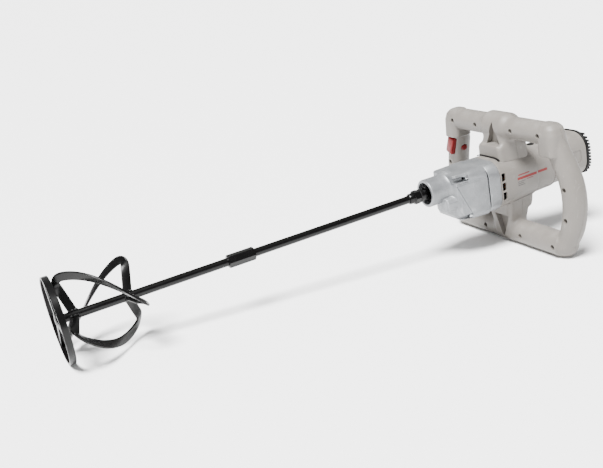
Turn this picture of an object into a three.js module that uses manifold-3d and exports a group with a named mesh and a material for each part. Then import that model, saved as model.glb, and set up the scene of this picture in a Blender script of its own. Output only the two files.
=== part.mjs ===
// Hand-held drill paint mixer: a two-handled mixer drive with a geared spindle, and a screwed-in
// stirring rod that carries three helical blades and a hoop.
//
// The drive is drawn in its own frame: +X forward along the spindle from the front face of the nose,
// +Y to the side of the plain grip, +Z up. The finished tool lies tipped nose-down, resting on the
// lower handle bar and the hoop. Units are millimetres.
import * as THREE from 'three';
import { mergeVertices } from 'three/addons/utils/BufferGeometryUtils.js';
import Module from 'manifold-3d';

const wasm = await Module();
wasm.setup();

// ---- driving dimensions ------------------------------------------------------------------------
const gap = 0.3;                  // air between two touching pieces
const wall = 3;                   // moulded plastic wall
const castWall = 4;               // cast aluminium wall

const noseLength = 34.5;          // front collar of the gear case
const noseR = 21.75;
const noseRecess = 8;             // open recess in front of the oil seal
const caseRear = -92;             // joint between gear case and its cover
const coverRear = -113;           // joint between cover and motor housing
const housingRear = -222;         // joint between motor housing and rear cap
const capRear = -290;             // joint between rear cap and vent grille
const grilleThick = 10;
const motorZ = -16;               // motor axis, below the spindle axis
const housingHalf = 40;           // motor housing half width at the front
const housingCorner = 28;
const housingEndHalf = 38;
const capHalf = 36;

const spindleR = 10.5;            // spindle where it leaves the nose
const spindleFront = 12;
const nutLength = 18;
const nutAcross = 19;
const rodR = 6;                   // stirring rod
const rodSocket = 20;             // how far the rod enters the spindle
const couplingStart = 290;
const couplingLength = 41;
const couplingAcross = 17;
const hoopFront = 575;
const hoopR = 60;
const hoopBand = 9;
const hoopThick = 3;

const bladeCount = 3;
const bladeTop = 475;             // where the blades leave the rod, motor end
const bladeFoot = 549;            // where the blades leave the rod, hoop end
const bladeR = 53;                // centre line of a blade's rim
const bladeWidth = 12;
const bladeThick = 3;
const bladeCornerTop = 462;
const bladeCornerFoot = 561;
const bladeBend = 13;             // bend size at a blade's corners
const bladeStart = 0;             // angle of the first blade at the motor end, from +Y towards +Z
const bladeTwist = 114;           // how far a blade winds round between its two corners

const gearModule = 1.25;          // output stage
const gearTeeth = 30;
const pinionTeeth = 9;
const firstModule = 0.65;         // motor stage
const firstTeeth = 41;
const motorTeeth = 7;
const backlash = 0.12;

const frameX = -154;              // plane of the upper and lower handle bars
const gripX = -164.2;             // plane of the two side grips, set back from the bars
const gripDepth = 18.2;           // half size of a grip from front to rear
const seamX = -158;               // joint between the handle shells at the bars
const gripSeamX = -175;           // the same joint at the top of the grips
const seamStepY = 102;            // from here outwards the joint follows the grips
const barTopZ = 67.7;
const barTopR = 17.4;
const barLowZ = -104;
const barLowR = 19;
const gripR = 17;
const blockY = 115.5;             // upper corner blocks
const blockR = 18;
const blockFoot = 37;
const neckHalfY = 23;
const neckHalfX = 20;
const saddleHalfX = 30;
const collarRise = 5;             // how far the collars stand out round the bars
const pocketDepth = 9;
const pocketHalf = 13;

// ---- small geometry helpers --------------------------------------------------------------------
const rad = THREE.MathUtils.degToRad;

// A closed three.js geometry as a solid, with its faces turned outwards.
function solid(geometry) {
  const bare = geometry.index ? geometry.toNonIndexed() : geometry.clone();
  bare.deleteAttribute('normal');
  bare.deleteAttribute('uv');
  const merged = mergeVertices(bare, 1e-4);
  const at = merged.attributes.position.array;
  const kept = [];
  let volume = 0;
  for (let i = 0; i < merged.index.count; i += 3) {
    const [a, b, c] = [0, 1, 2].map((k) => merged.index.getX(i + k));
    if (a === b || b === c || a === c) continue;
    const [p, q, r] = [a, b, c].map((k) => new THREE.Vector3(at[3 * k], at[3 * k + 1], at[3 * k + 2]));
    volume += p.dot(q.cross(r));
    kept.push(a, b, c);
  }
  if (volume < 0) kept.reverse();
  return new wasm.Manifold(new wasm.Mesh({
    numProp: 3, vertProperties: new Float32Array(at), triVerts: new Uint32Array(kept),
  }));
}

const join = (...pieces) => pieces.reduce((a, b) => a.add(b));
const cut = (piece, ...tools) => tools.reduce((a, b) => a.subtract(b), piece);

function box(x0, x1, y0, y1, z0, z1) {
  const geometry = new THREE.BoxGeometry(x1 - x0, y1 - y0, z1 - z0);
  return solid(geometry.translate((x0 + x1) / 2, (y0 + y1) / 2, (z0 + z1) / 2));
}

// A round bar along X, Y or Z from one place to another; a and b are its other two coordinates.
function rodAlong(axis, r, from, to, a = 0, b = 0, sides = 20, endR = r) {
  const geometry = new THREE.CylinderGeometry(endR, r, to - from, sides);
  geometry.translate(0, (from + to) / 2, 0);
  if (axis === 'x') geometry.rotateZ(-Math.PI / 2).translate(0, a, b);
  if (axis === 'y') geometry.translate(a, 0, b);
  if (axis === 'z') geometry.rotateX(Math.PI / 2).translate(a, b, 0);
  return solid(geometry);
}

// A hexagonal bar along X with flats facing up and down.
const hexAlong = (across, from, to) => rodAlong('x', across / Math.sqrt(3), from, to, 0, 0, 6);

// A turned piece about X from pairs of [x, r], starting and ending on the axis.
function turned(profile, sides = 20, y = 0, z = 0) {
  const geometry = new THREE.LatheGeometry(profile.map(([x, r]) => new THREE.Vector2(r, x)), sides);
  return solid(geometry.rotateZ(-Math.PI / 2).translate(0, y, z));
}

// A ring about X.
function ring(rIn, rOut, from, to, y = 0, z = 0, sides = 16) {
  return cut(rodAlong('x', rOut, from, to, y, z, sides),
    rodAlong('x', rIn, from - 1, to + 1, y, z, sides));
}

// A body lofted through rounded rectangles along X or Z. Each section is
// { at, a, b, ha, hb, r }: its place, its centre, its half sizes and its corner radius.
function loft(axis, sections, perCorner = 5) {
  const around = 4 * perCorner;
  const levels = sections.length - 1;
  const geometry = new THREE.CylinderGeometry(1, 1, 1, around, levels);
  const place = geometry.attributes.position;
  for (let i = 0; i < place.count; i += 1) {
    const [px, py, pz] = [place.getX(i), place.getY(i), place.getZ(i)];
    const s = sections[Math.round((0.5 - py) * levels)];
    const turn = Math.round((Math.atan2(pz, px) / (2 * Math.PI)) * around);
    const step = ((turn % around) + around) % around;
    const corner = Math.floor(step / perCorner);
    const angle = (corner + (step % perCorner) / (perCorner - 1)) * (Math.PI / 2);
    const sideA = corner === 0 || corner === 3 ? 1 : -1;
    const sideB = corner < 2 ? 1 : -1;
    const onRim = Math.hypot(px, pz) > 0.5 ? 1 : 0;
    const a = s.a + onRim * (sideA * (s.ha - s.r) + s.r * Math.cos(angle));
    const b = s.b + onRim * (sideB * (s.hb - s.r) + s.r * Math.sin(angle));
    if (axis === 'x') place.setXYZ(i, s.at, a, b);
    else place.setXYZ(i, a, b, s.at);
  }
  return solid(geometry);
}

// The same sections drawn in or out by a constant amount.
const offset = (sections, by) => sections.map((s) => (
  { ...s, ha: s.ha + by, hb: s.hb + by, r: Math.max(s.r + by, 0.5) }));

// An involute spur gear about X; turned by a share of one tooth.
function gearBlank(module, teeth, from, to, y, z, phase) {
  const pitch = (module * teeth) / 2;
  const base = pitch * Math.cos(rad(20));
  const outer = pitch + module;
  const root = Math.max(pitch - 1.2 * module, 1.2);
  const inv = (a) => Math.tan(a) - a;
  const half = Math.PI / (2 * teeth) - backlash / (2 * pitch) + inv(rad(20));
  const flank = (r) => half - (r > base ? inv(Math.acos(base / r)) : 0);
  const radii = [root, pitch, outer];
  const points = [];
  for (let k = 0; k < teeth; k += 1) {
    const mid = ((k + phase) / teeth) * 2 * Math.PI;
    radii.forEach((r) => points.push([r, mid - Math.max(flank(r), 0.02)]));
    [...radii].reverse().forEach((r) => points.push([r, mid + Math.max(flank(r), 0.02)]));
  }
  const shape = new THREE.Shape(points.map(
    ([r, a]) => new THREE.Vector2(r * Math.cos(a), r * Math.sin(a))));
  const geometry = new THREE.ExtrudeGeometry(shape, { depth: to - from, bevelEnabled: false });
  // Extruded along Z; the outline's x becomes the tool's y and its y becomes the tool's z.
  geometry.applyMatrix4(new THREE.Matrix4().set(0, 0, 1, from, 1, 0, 0, y, 0, 1, 0, z, 0, 0, 0, 1));
  return solid(geometry);
}

// ---- materials ---------------------------------------------------------------------------------
const looks = {
  castAluminium: [0xb9bcbf, 0.38, 0.85],
  greyPlastic: [0xc2beb9, 0.55, 0],
  blackPaint: [0x0b0b0c, 0.25, 0.1],
  blackPlastic: [0x131314, 0.6, 0],
  redPlastic: [0xc8141e, 0.4, 0],
  steel: [0x8f9398, 0.35, 0.9],
  darkSteel: [0x3b3d40, 0.45, 0.8],
  copper: [0xb46a3c, 0.4, 0.9],
};
const tool = new THREE.Group();
function add(name, look, piece) {
  const mesh = piece.getMesh();
  const geometry = new THREE.BufferGeometry();
  geometry.setAttribute('position', new THREE.BufferAttribute(new Float32Array(mesh.vertProperties), 3));
  geometry.setIndex(new THREE.BufferAttribute(new Uint32Array(mesh.triVerts), 1));
  geometry.computeVertexNormals();
  const [color, roughness, metalness] = looks[look];
  const node = new THREE.Mesh(geometry, new THREE.MeshStandardMaterial({ color, roughness, metalness }));
  node.name = name;
  tool.add(node);
}

// ---- shared places -----------------------------------------------------------------------------
const outCentre = (gearModule * (gearTeeth + pinionTeeth)) / 2;
const firstCentre = (firstModule * (firstTeeth + motorTeeth)) / 2;
const layZ = (outCentre ** 2 - firstCentre ** 2 + motorZ ** 2) / (2 * motorZ);
const layY = Math.sqrt(outCentre ** 2 - layZ ** 2);
const gearFront = -62;
const gearRear = -77;
const firstFront = -83;
const firstRear = -89;

const caseBolts = [[1, 1], [1, -1], [-1, 1], [-1, -1]].map(([a, b]) => [a * 28, motorZ + b * 30]);
const caseSection = (at, ha, top, low, r) => (
  { at, a: 0, b: (top + low) / 2, ha, hb: (top - low) / 2, r });
const caseSections = [
  caseSection(-noseLength, 23, 22.4, -43, 8),
  caseSection(-noseLength - 3.5, 31, 22.8, -49, 9),
  caseSection(-62, 33.5, 23.2, -54.5, 11),
  caseSection(caseRear, 37, 23.8, -56.5, 17),
];
const round = (at, half, r, b = motorZ) => ({ at, a: 0, b, ha: half, hb: half, r });
const coverSections = [round(caseRear - gap, 38.5, 20), round(coverRear, housingHalf, 24)];
const housingSections = [
  round(coverRear - gap, housingHalf, 25), round(-130, housingHalf, housingCorner),
  round(-186, housingHalf - 0.8, 32), round(-188, housingEndHalf, 33),
  round(housingRear, housingEndHalf - 0.6, 33),
];
const capZ = -13;
const capSections = [
  round(housingRear - gap, housingEndHalf - 0.6, 33), round(-232, capHalf + 0.6, 30, -14),
  round(capRear, capHalf, housingCorner, capZ)];

const bossY = 17;                 // outer boss over the layshaft's front bush
const bossZ = -22;
const bearingFrontR = 17.5;       // front spindle bearing, 15 x 35 x 11
const bearingBore = 7.5;
const sealFront = -noseRecess;
const sealRear = sealFront - 5;
const bearingFront = sealRear - gap - 0.5;
const bearingRear = bearingFront - 11;
const tailR = 5;                  // rear end of the spindle
const bushR = 8.5;
const bushFront = -97;
const bushRear = -105.5;
const layR = 4;
const layBushR = 8;
const armBearingR = 11;
const armBearingFront = -106.5;
const armBearingRear = -113.5;
const shaftR = 4;
const slip = 0.3;                 // radial clearance of a running fit between faceted rounds

// ---- gear case, cover and their screws ---------------------------------------------------------
function gearCase() {
  const outer = join(
    loft('x', caseSections),
    rodAlong('x', noseR, -noseLength - 2, 0, 0, 0, 28),
    rodAlong('x', 13, -40, -20, bossY, bossZ, 20, 12),
    box(-56, -noseLength + 0.5, 0, 34.5, 8.5, 22.5),
  );
  const inner = loft('x', [
    caseSection(-noseLength - 12, 22, 20.6, -40, 8), caseSection(-62, 27.5, 20.8, -50, 9),
    caseSection(caseRear - 1, 33, 21, -52.5, 13),
  ]);
  const bolts = caseBolts.flatMap(([y, z]) => [
    rodAlong('x', 2.4, caseRear - 1, -60, y, z, 12),
    rodAlong('x', 5.6, -61, -30, y * 1.04, z, 14),
  ]);
  const posts = caseBolts.map(([y, z]) => rodAlong('x', 5, caseRear, -62, y, z, 14));
  const boss = rodAlong('x', 12, -60, -36, layY, layZ, 16);
  return cut(
    join(cut(outer, inner), posts.reduce((a, b) => a.add(b)).intersect(loft('x', caseSections)),
      boss.intersect(outer), ring(bearingFrontR, noseR, -47, -30, 0, 0, 28)),
    rodAlong('x', bearingFrontR + gap, -50, 1, 0, 0, 24),
    rodAlong('x', layBushR + gap, -61, -51, layY, layZ, 20),
    ...bolts,
  );
}

function caseCover() {
  const web = loft('x', coverSections);
  return cut(
    web,
    loft('x', offset([round(-112, housingHalf, 24), round(coverRear - 1, housingHalf, 24)], -castWall)),
    rodAlong('x', bushR + gap, -108, -90, 0, 0, 20),
    rodAlong('x', layBushR + gap, -103, -90, layY, layZ, 20),
    rodAlong('x', shaftR + 1, -118, -90, 0, motorZ, 18),
    rodAlong('x', armBearingR + gap, -118, armBearingFront + gap, 0, motorZ, 24),
    ...caseBolts.map(([y, z]) => rodAlong('x', 2.4, coverRear - 1, caseRear + 1, y, z, 12)),
  );
}
const armBore = shaftR + slip;

add('gear_case', 'castAluminium', gearCase());
add('gear_case_cover', 'castAluminium', caseCover());
caseBolts.forEach(([y, z], i) => add(`case_screw_${i + 1}`, 'steel', join(
  rodAlong('x', 2.1, -130, -59, y, z, 10), rodAlong('x', 4, -60 + gap, -56.5, y, z, 14))));

// ---- motor housing, rear cap and grille --------------------------------------------------------
const slotTop = 6;
const slotLow = -40;
function motorHousing() {
  const posts = caseBolts.map(([y, z]) => rodAlong('x', 4.6, -134, coverRear - gap, y, z, 12));
  const shell = cut(loft('x', housingSections), loft('x', [
    { ...housingSections[0], at: coverRear + 1 }, ...housingSections.slice(1, -1),
    { ...housingSections.at(-1), at: housingRear - 1 }].map((s) => offset([s], -wall)[0])));
  const slotStep = (slotTop - slotLow) / 3;
  const slots = [-1, 1].flatMap((side) => [0, 1, 2].map((k) => box(
    -123, -115.5, side > 0 ? 30 : -45, side > 0 ? 45 : -30,
    slotLow + k * slotStep + 0.8, slotLow + (k + 1) * slotStep - 0.8)));
  const brushes = [-1, 1].map((side) => rodAlong(
    'z', 6, motorZ + (side > 0 ? 24 : -44), motorZ + (side > 0 ? 44 : -24), brushX, 0, 16));
  return cut(
    join(shell, posts.reduce((a, b) => a.add(b)).intersect(loft('x', housingSections))),
    ...slots, ...brushes,
    ...caseBolts.map(([y, z]) => rodAlong('x', 2.4, -132, coverRear + 1, y, z, 12)),
  );
}
const brushX = -208;
const rearBearingFront = -228;

function rearCap() {
  const shell = cut(loft('x', capSections), loft('x', offset([
    { ...capSections[0], at: housingRear + 1 }, capSections[1], { ...capSections[2], at: capRear - 1 }], -2.6)));
  const web = loft('x', [{ ...capSections[1], at: -234 }, { ...capSections[1], at: -238 }]);
  const cup = rodAlong('x', 14.5, -238, rearBearingFront + 1, 0, motorZ, 24);
  const vents = [[-1, -1], [-1, 1], [1, -1], [1, 1]].map(
    ([a, b]) => rodAlong('x', 6.5, -240, -230, a * 19, motorZ + b * 16, 14));
  return cut(
    join(shell, web.intersect(loft('x', offset(capSections, -1))), cup),
    rodAlong('x', armBearingR + gap, rearBearingFront - 7 - gap, rearBearingFront + 3, 0, motorZ, 24),
    ...vents, ...capScrews.map(([y, z]) => rodAlong('x', 1.9, -240, -220, y, z, 10)),
  );
}
const capScrews = [[27, motorZ], [-27, motorZ]];

function ventGrille() {
  const rim = [round(capRear - gap, capHalf + 1, housingCorner, capZ),
    round(capRear - grilleThick + 4, capHalf + 1, housingCorner, capZ)];
  const front = capRear - gap;
  const rear = capRear - grilleThick;
  const comb = [-6, -5, -4, -3, -2, -1, 0, 1, 2, 3, 4, 5, 6].map((k) => box(
    rear - 1, rear + 4, -50, 50, capZ + k * 5.2 - 1.1, capZ + k * 5.2 + 1.1));
  const openings = [-1, 1].flatMap((side) => [-2, -1, 0, 1, 2].map((k) => box(
    rear - 2, front + 1, side > 0 ? 6 : -24, side > 0 ? 24 : -6,
    capZ + k * 10.4 - 2, capZ + k * 10.4 + 2)));
  const body = loft('x', [...rim, round(rear, capHalf - 1, housingCorner - 2, capZ)]);
  return cut(body, ...comb, ...openings);
}

add('motor_housing', 'greyPlastic', motorHousing());
add('rear_cap', 'greyPlastic', rearCap());
add('vent_grille', 'blackPlastic', ventGrille());

// ---- motor -------------------------------------------------------------------------------------
const coreFront = -137;
const coreRear = -182;
const armatureR = 21;
const airGap = 1;
add('stator_core', 'darkSteel', cut(
  loft('x', offset([round(coreRear, 35.2, 30), round(coreFront, 35.2, 30)].reverse(), 0)),
  rodAlong('x', armatureR + airGap, coreRear - 1, coreFront + 1, 0, motorZ, 28),
  box(coreRear - 1, coreFront + 1, -27, 27, motorZ - 12, motorZ + 12)));
[1, -1].forEach((side, i) => add(`field_coil_${i + 1}`, 'copper', cut(
  box(coreRear - 6, coreFront + 6, side > 0 ? 22.7 : -26.7, side > 0 ? 26.7 : -22.7,
    motorZ - 11.5, motorZ + 11.5),
  box(coreRear + 1, coreFront - 1, side > 0 ? 20 : -28, side > 0 ? 28 : -20, motorZ - 6, motorZ + 6))));
add('armature_core', 'darkSteel', cut(
  rodAlong('x', armatureR, coreRear, coreFront, 0, motorZ, 24),
  ...Array.from({ length: 12 }, (_, k) => {
    const a = (k * Math.PI) / 6;
    return rodAlong('x', 1.6, coreRear - 1, coreFront + 1, 20 * Math.cos(a), motorZ + 20 * Math.sin(a), 6);
  }),
  rodAlong('x', shaftR + 1 + gap, coreRear - 1, coreFront + 1, 0, motorZ, 16)));
add('commutator', 'copper', cut(
  rodAlong('x', 12, -216, -199, 0, motorZ, 24),
  ...Array.from({ length: 12 }, (_, k) => {
    const a = (k * Math.PI) / 6;
    return rodAlong('x', 0.5, -217, -198, 12 * Math.cos(a), motorZ + 12 * Math.sin(a), 4);
  }),
  rodAlong('x', shaftR + 1 + gap, -217, -198, 0, motorZ, 16)));
add('armature_shaft', 'steel', join(
  rodAlong('x', shaftR, rearBearingFront - 7, firstRear - 4, 0, motorZ, 16),
  rodAlong('x', shaftR + 1, -218, armBearingRear - 1, 0, motorZ, 16),
  gearBlank(firstModule, motorTeeth, firstRear - 5, firstFront - 1 + gap, 0, motorZ, 0.5)));
function fan() {
  const hub = rodAlong('x', 9, -129, coverRear - 1.5, 0, motorZ, 20);
  const plate = rodAlong('x', 30, -120, coverRear - 1.5, 0, motorZ, 28);
  const vanes = Array.from({ length: 8 }, (_, k) => {
    const vane = new THREE.BoxGeometry(9, 21, 1.6);
    vane.translate(-124, 18.5, 0).rotateX((k * Math.PI) / 4).translate(0, 0, motorZ);
    return solid(vane);
  });
  return cut(join(hub, plate, ...vanes), rodAlong('x', shaftR + 1 + gap, -131, -110, 0, motorZ, 16));
}
add('cooling_fan', 'blackPlastic', fan());
add('armature_front_bearing', 'steel',
  ring(armBore, armBearingR, armBearingRear, armBearingFront, 0, motorZ, 16));
add('armature_rear_bearing', 'steel',
  ring(armBore, armBearingR, rearBearingFront - 7, rearBearingFront, 0, motorZ, 16));
[1, -1].forEach((side, i) => {
  const near = (lo, hi) => (side > 0 ? [motorZ + lo, motorZ + hi] : [motorZ - hi, motorZ - lo]);
  const holder = cut(rodAlong('z', 6 - gap, ...near(14, housingEndHalf + 0.5), brushX, 0, 16),
    box(brushX - 3.3, brushX + 3.3, -3.3, 3.3, ...near(10, housingEndHalf - 3)));
  add(`brush_holder_${i + 1}`, 'blackPlastic', holder);
  add(`brush_${i + 1}`, 'darkSteel', box(brushX - 3, brushX + 3, -3, 3, ...near(12.3, 30)));
});

// ---- gear train --------------------------------------------------------------------------------
function layShaft() {
  return join(
    rodAlong('x', layR, -101.5, -52, layY, layZ, 16),
    gearBlank(gearModule, pinionTeeth, gearRear - 2, gearFront + 1, layY, layZ, layPhase),
    rodAlong('x', layR + 2, firstRear - gap - 1.5, firstRear - gap, layY, layZ, 16),
  );
}
// Tooth phases that put a tooth of one wheel into a space of the other on the line of centres.
const turnOf = (y, z) => Math.atan2(z, y) / (2 * Math.PI);
const layTurn = turnOf(layY, layZ);
const layPhase = pinionTeeth * (layTurn + 0.5) + 0.5;
const outPhase = gearTeeth * layTurn;
const firstTurn = turnOf(layY, layZ - motorZ);
const firstPhase = firstTeeth * (firstTurn + 0.5) + 0.5 + motorTeeth * firstTurn - 0.5;
add('layshaft', 'steel', layShaft());
add('first_gear', 'steel', cut(
  gearBlank(firstModule, firstTeeth, firstRear, firstFront, layY, layZ, firstPhase),
  rodAlong('x', layR + gap, firstRear - 1, firstFront + 1, layY, layZ, 16)));
add('layshaft_front_bush', 'darkSteel', ring(layR + slip, layBushR, -60, -52.5, layY, layZ, 14));
add('layshaft_rear_bush', 'darkSteel', ring(layR + slip, layBushR, -102, -94, layY, layZ, 14));

function outputSpindle() {
  const body = turned([
    [spindleFront, 0], [spindleFront, spindleR - 1], [spindleFront - 1, spindleR],
    [bearingFront + gap, spindleR], [bearingFront + gap, bearingBore], [-80, bearingBore], [-80, tailR],
    [bushRear + 1, tailR], [bushRear + 1, 0],
  ].reverse(), 22);
  const flats = [-1, 1].map((side) => box(-2, spindleFront + 1, -20, 20,
    side > 0 ? spindleR - 1.4 : -20, side > 0 ? 20 : -spindleR + 1.4));
  const socket = rodAlong('x', rodR + gap, spindleFront - rodSocket - gap, spindleFront + 1, 0, 0, 20);
  return cut(body, socket, ...flats);
}
add('output_spindle', 'blackPaint', outputSpindle());
add('output_gear', 'steel', cut(
  gearBlank(gearModule, gearTeeth, gearRear, gearFront, 0, 0, outPhase),
  rodAlong('x', bearingBore + gap, gearRear - 1, gearFront + 1, 0, 0, 24)));
add('spindle_front_bearing', 'steel',
  ring(bearingBore + slip, bearingFrontR, bearingRear, bearingFront, 0, 0, 20));
add('spindle_rear_bush', 'darkSteel', ring(tailR + slip, bushR, bushRear, bushFront, 0, 0, 14));
add('oil_seal', 'blackPlastic', ring(spindleR + gap, bearingFrontR, sealRear, sealFront, 0, 0, 20));

// ---- stirring rod and head ---------------------------------------------------------------------
const nutRear = spindleFront + gap;
const nutFront = nutRear + nutLength;
add('adapter_nut', 'blackPaint', cut(
  join(hexAlong(nutAcross, nutRear, nutRear + 10), rodAlong('x', 8.3, nutRear + 9, nutFront, 0, 0, 24, 8)),
  rodAlong('x', rodR + gap, nutRear - 1, nutFront + 1, 0, 0, 20)));
const couplingEnd = couplingStart + couplingLength;
const couplingMid = (couplingStart + couplingEnd) / 2;
add('upper_rod', 'blackPaint', rodAlong('x', rodR, spindleFront - rodSocket, couplingMid - gap, 0, 0, 20));
add('hex_coupling', 'blackPaint', cut(
  hexAlong(couplingAcross, couplingStart, couplingEnd).intersect(turned([
    [couplingStart, 0], [couplingStart, couplingAcross / 2 - 0.5],
    [couplingStart + 2, couplingAcross / Math.sqrt(3)], [couplingEnd - 2, couplingAcross / Math.sqrt(3)],
    [couplingEnd, couplingAcross / 2 - 0.5], [couplingEnd, 0]].reverse(), 24)),
  rodAlong('x', rodR + gap, couplingStart - 1, couplingEnd + 1, 0, 0, 20)));
const rodEnd = hoopFront - 1;
add('lower_rod', 'blackPaint', rodAlong('x', rodR, couplingMid + gap, rodEnd, 0, 0, 20));

// One blade: a flat bar that leaves the rod, bends along a helix and bends back to the rod.
function blade(first) {
  const steps = [];
  const arm = (x0, x1, r0, r1, turn, count) => {
    for (let k = 0; k <= count; k += 1) {
      const t = k / count;
      steps.push([x0 + (x1 - x0) * t, r0 + (r1 - r0) * t, turn]);
    }
  };
  const bend = (from, corner, to, count) => {
    for (let k = 1; k < count; k += 1) {
      const t = k / count;
      steps.push([0, 1, 2].map((i) => (
        (1 - t) ** 2 * from[i] + 2 * t * (1 - t) * corner[i] + t ** 2 * to[i])));
    }
  };
  const rimR = bladeR;
  const startR = rodR + gap + 0.1;
  const span = bladeCornerFoot - bladeCornerTop;
  const turnAt = (x) => first + (bladeTwist * (x - bladeCornerTop)) / span;
  const share = bladeBend / (rimR - startR);
  const topEnd = [bladeCornerTop + (bladeTop - bladeCornerTop) * share, rimR - bladeBend, first];
  const footEnd = [
    bladeCornerFoot + (bladeFoot - bladeCornerFoot) * share, rimR - bladeBend, first + bladeTwist];
  const rimTop = [bladeCornerTop + bladeBend, rimR, turnAt(bladeCornerTop + bladeBend)];
  const rimFoot = [bladeCornerFoot - bladeBend, rimR, turnAt(bladeCornerFoot - bladeBend)];
  arm(bladeTop, topEnd[0], startR, topEnd[1], first, 2);
  bend(topEnd, [bladeCornerTop, rimR, first], rimTop, 5);
  const rimSteps = 14;
  for (let k = 0; k <= rimSteps; k += 1) {
    const t = k / rimSteps;
    steps.push([0, 1, 2].map((i) => rimTop[i] + (rimFoot[i] - rimTop[i]) * t));
  }
  bend(rimFoot, [bladeCornerFoot, rimR, first + bladeTwist], footEnd, 5);
  arm(footEnd[0], bladeFoot, footEnd[1], startR, first + bladeTwist, 2);

  const path = steps.map(
    ([x, r, turn]) => new THREE.Vector3(x, r * Math.cos(rad(turn)), r * Math.sin(rad(turn))));
  // The flat of the bar faces round the rod on the arms, and squarely across the helix on the rim.
  const lean = Math.atan2(rad(bladeTwist) * rimR, span);
  const faces = steps.map(([, r, turn]) => {
    const sideways = new THREE.Vector3(0, -Math.sin(rad(turn)), Math.cos(rad(turn)));
    const rim = sideways.clone().multiplyScalar(-Math.cos(lean)).setX(Math.sin(lean));
    return sideways.negate().lerp(rim, THREE.MathUtils.smoothstep(r, rimR - 2 * bladeBend, rimR));
  });
  const geometry = new THREE.BoxGeometry(1, 1, 1, 1, 1, path.length - 1);
  const place = geometry.attributes.position;
  for (let i = 0; i < place.count; i += 1) {
    const k = Math.round((place.getZ(i) + 0.5) * (path.length - 1));
    const atEnd = k === 0 || k === path.length - 1;
    const along = path[Math.min(k + 1, path.length - 1)].clone().sub(path[Math.max(k - 1, 0)]);
    along.setX(atEnd ? 0 : along.x).normalize();
    const thick = faces[k].clone().addScaledVector(along, -faces[k].dot(along)).normalize();
    const wide = thick.clone().cross(along);
    const at = path[k].clone().addScaledVector(wide, place.getX(i) * bladeWidth)
      .addScaledVector(thick, place.getY(i) * bladeThick);
    place.setXYZ(i, at.x, at.y, at.z);
  }
  return solid(geometry);
}
for (let k = 0; k < bladeCount; k += 1) {
  add(`blade_${k + 1}`, 'blackPaint', blade(bladeStart + (k * 360) / bladeCount));
}

const hoopRear = hoopFront - hoopBand;
add('hoop', 'blackPaint', ring(hoopR - hoopThick, hoopR, hoopRear, hoopFront, 0, 0, 48));
function spider() {
  const spokes = Array.from({ length: bladeCount }, (_, k) => {
    const spoke = new THREE.BoxGeometry(2.5, hoopR - hoopThick - gap - 8, 9);
    const turn = rad(bladeStart + bladeTwist + (k * 360) / bladeCount);
    spoke.translate(hoopFront - 3.5, (hoopR - hoopThick - gap + 8) / 2, 0).rotateX(turn);
    return solid(spoke);
  });
  return cut(
    join(rodAlong('x', 10.5, hoopRear, hoopFront - 1.5, 0, 0, 24), ...spokes),
    rodAlong('x', rodR + gap, hoopRear - 1, hoopFront + 1, 0, 0, 20));
}
add('hoop_spider', 'blackPaint', spider());

// ---- handle frame ------------------------------------------------------------------------------
// Sections of a grip from its top to its foot: [z, x, y, half depth, half width].
const gripSections = (side) => [
  [barTopZ, frameX - 3, blockY, barTopR, barTopR],
  [45, gripX + 6, 121, gripDepth - 1, gripR + 0.8], [28, gripX + 2, 126, gripDepth, gripR + 0.8],
  [14, gripX + 1, 131.5, gripDepth, gripR + 0.6], [0, gripX, 137, gripDepth, gripR + 0.4],
  [-22, gripX, 141.5, gripDepth, gripR], [-49, gripX, 140.5, gripDepth, gripR],
  [-70, gripX + 1, 137, gripDepth, gripR + 0.3], [-88, gripX + 3, 131, gripDepth, gripR + 0.6],
  [barLowZ, gripX + 7, lowCornerY, gripDepth, gripR + 0.6],
].map(([at, a, y, ha, hb]) => ({ at, a, b: side * y, ha, hb, r: Math.min(ha, hb) - 1 }));
const lowCornerY = 124;

// The outline of the handle frame, drawn in by a given amount.
function frameBody(inset) {
  const sides = inset > 1 ? 8 : 16;
  const corner = (x, y, z, long, r) => solid(new THREE.SphereGeometry(1, sides, sides / 2)
    .rotateX(0.1).scale(long - inset, r - inset, r - inset).translate(x, y, z));
  const each = (side) => join(
    loft('z', offset(gripSections(side), -inset), inset > 1 ? 3 : 5),
    loft('z', offset([
      { at: barTopZ, a: frameX, b: side * blockY, ha: blockR, hb: blockR, r: 17 },
      { at: blockFoot + inset, a: frameX, b: side * blockY, ha: blockR - 0.5, hb: blockR - 0.5, r: 12 },
    ], -inset), 4),
    corner(frameX - 3, side * blockY, barTopZ, blockR + 3, blockR),
    corner(gripX + 7, side * (lowCornerY - 1), barLowZ, gripDepth + 1.5, barLowR),
  );
  return join(
    rodAlong('y', barTopR - inset, -blockY, blockY, frameX, barTopZ, sides),
    rodAlong('y', barLowR - inset, -lowCornerY, lowCornerY, frameX, barLowZ, sides),
    each(1), each(-1),
  );
}

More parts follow.
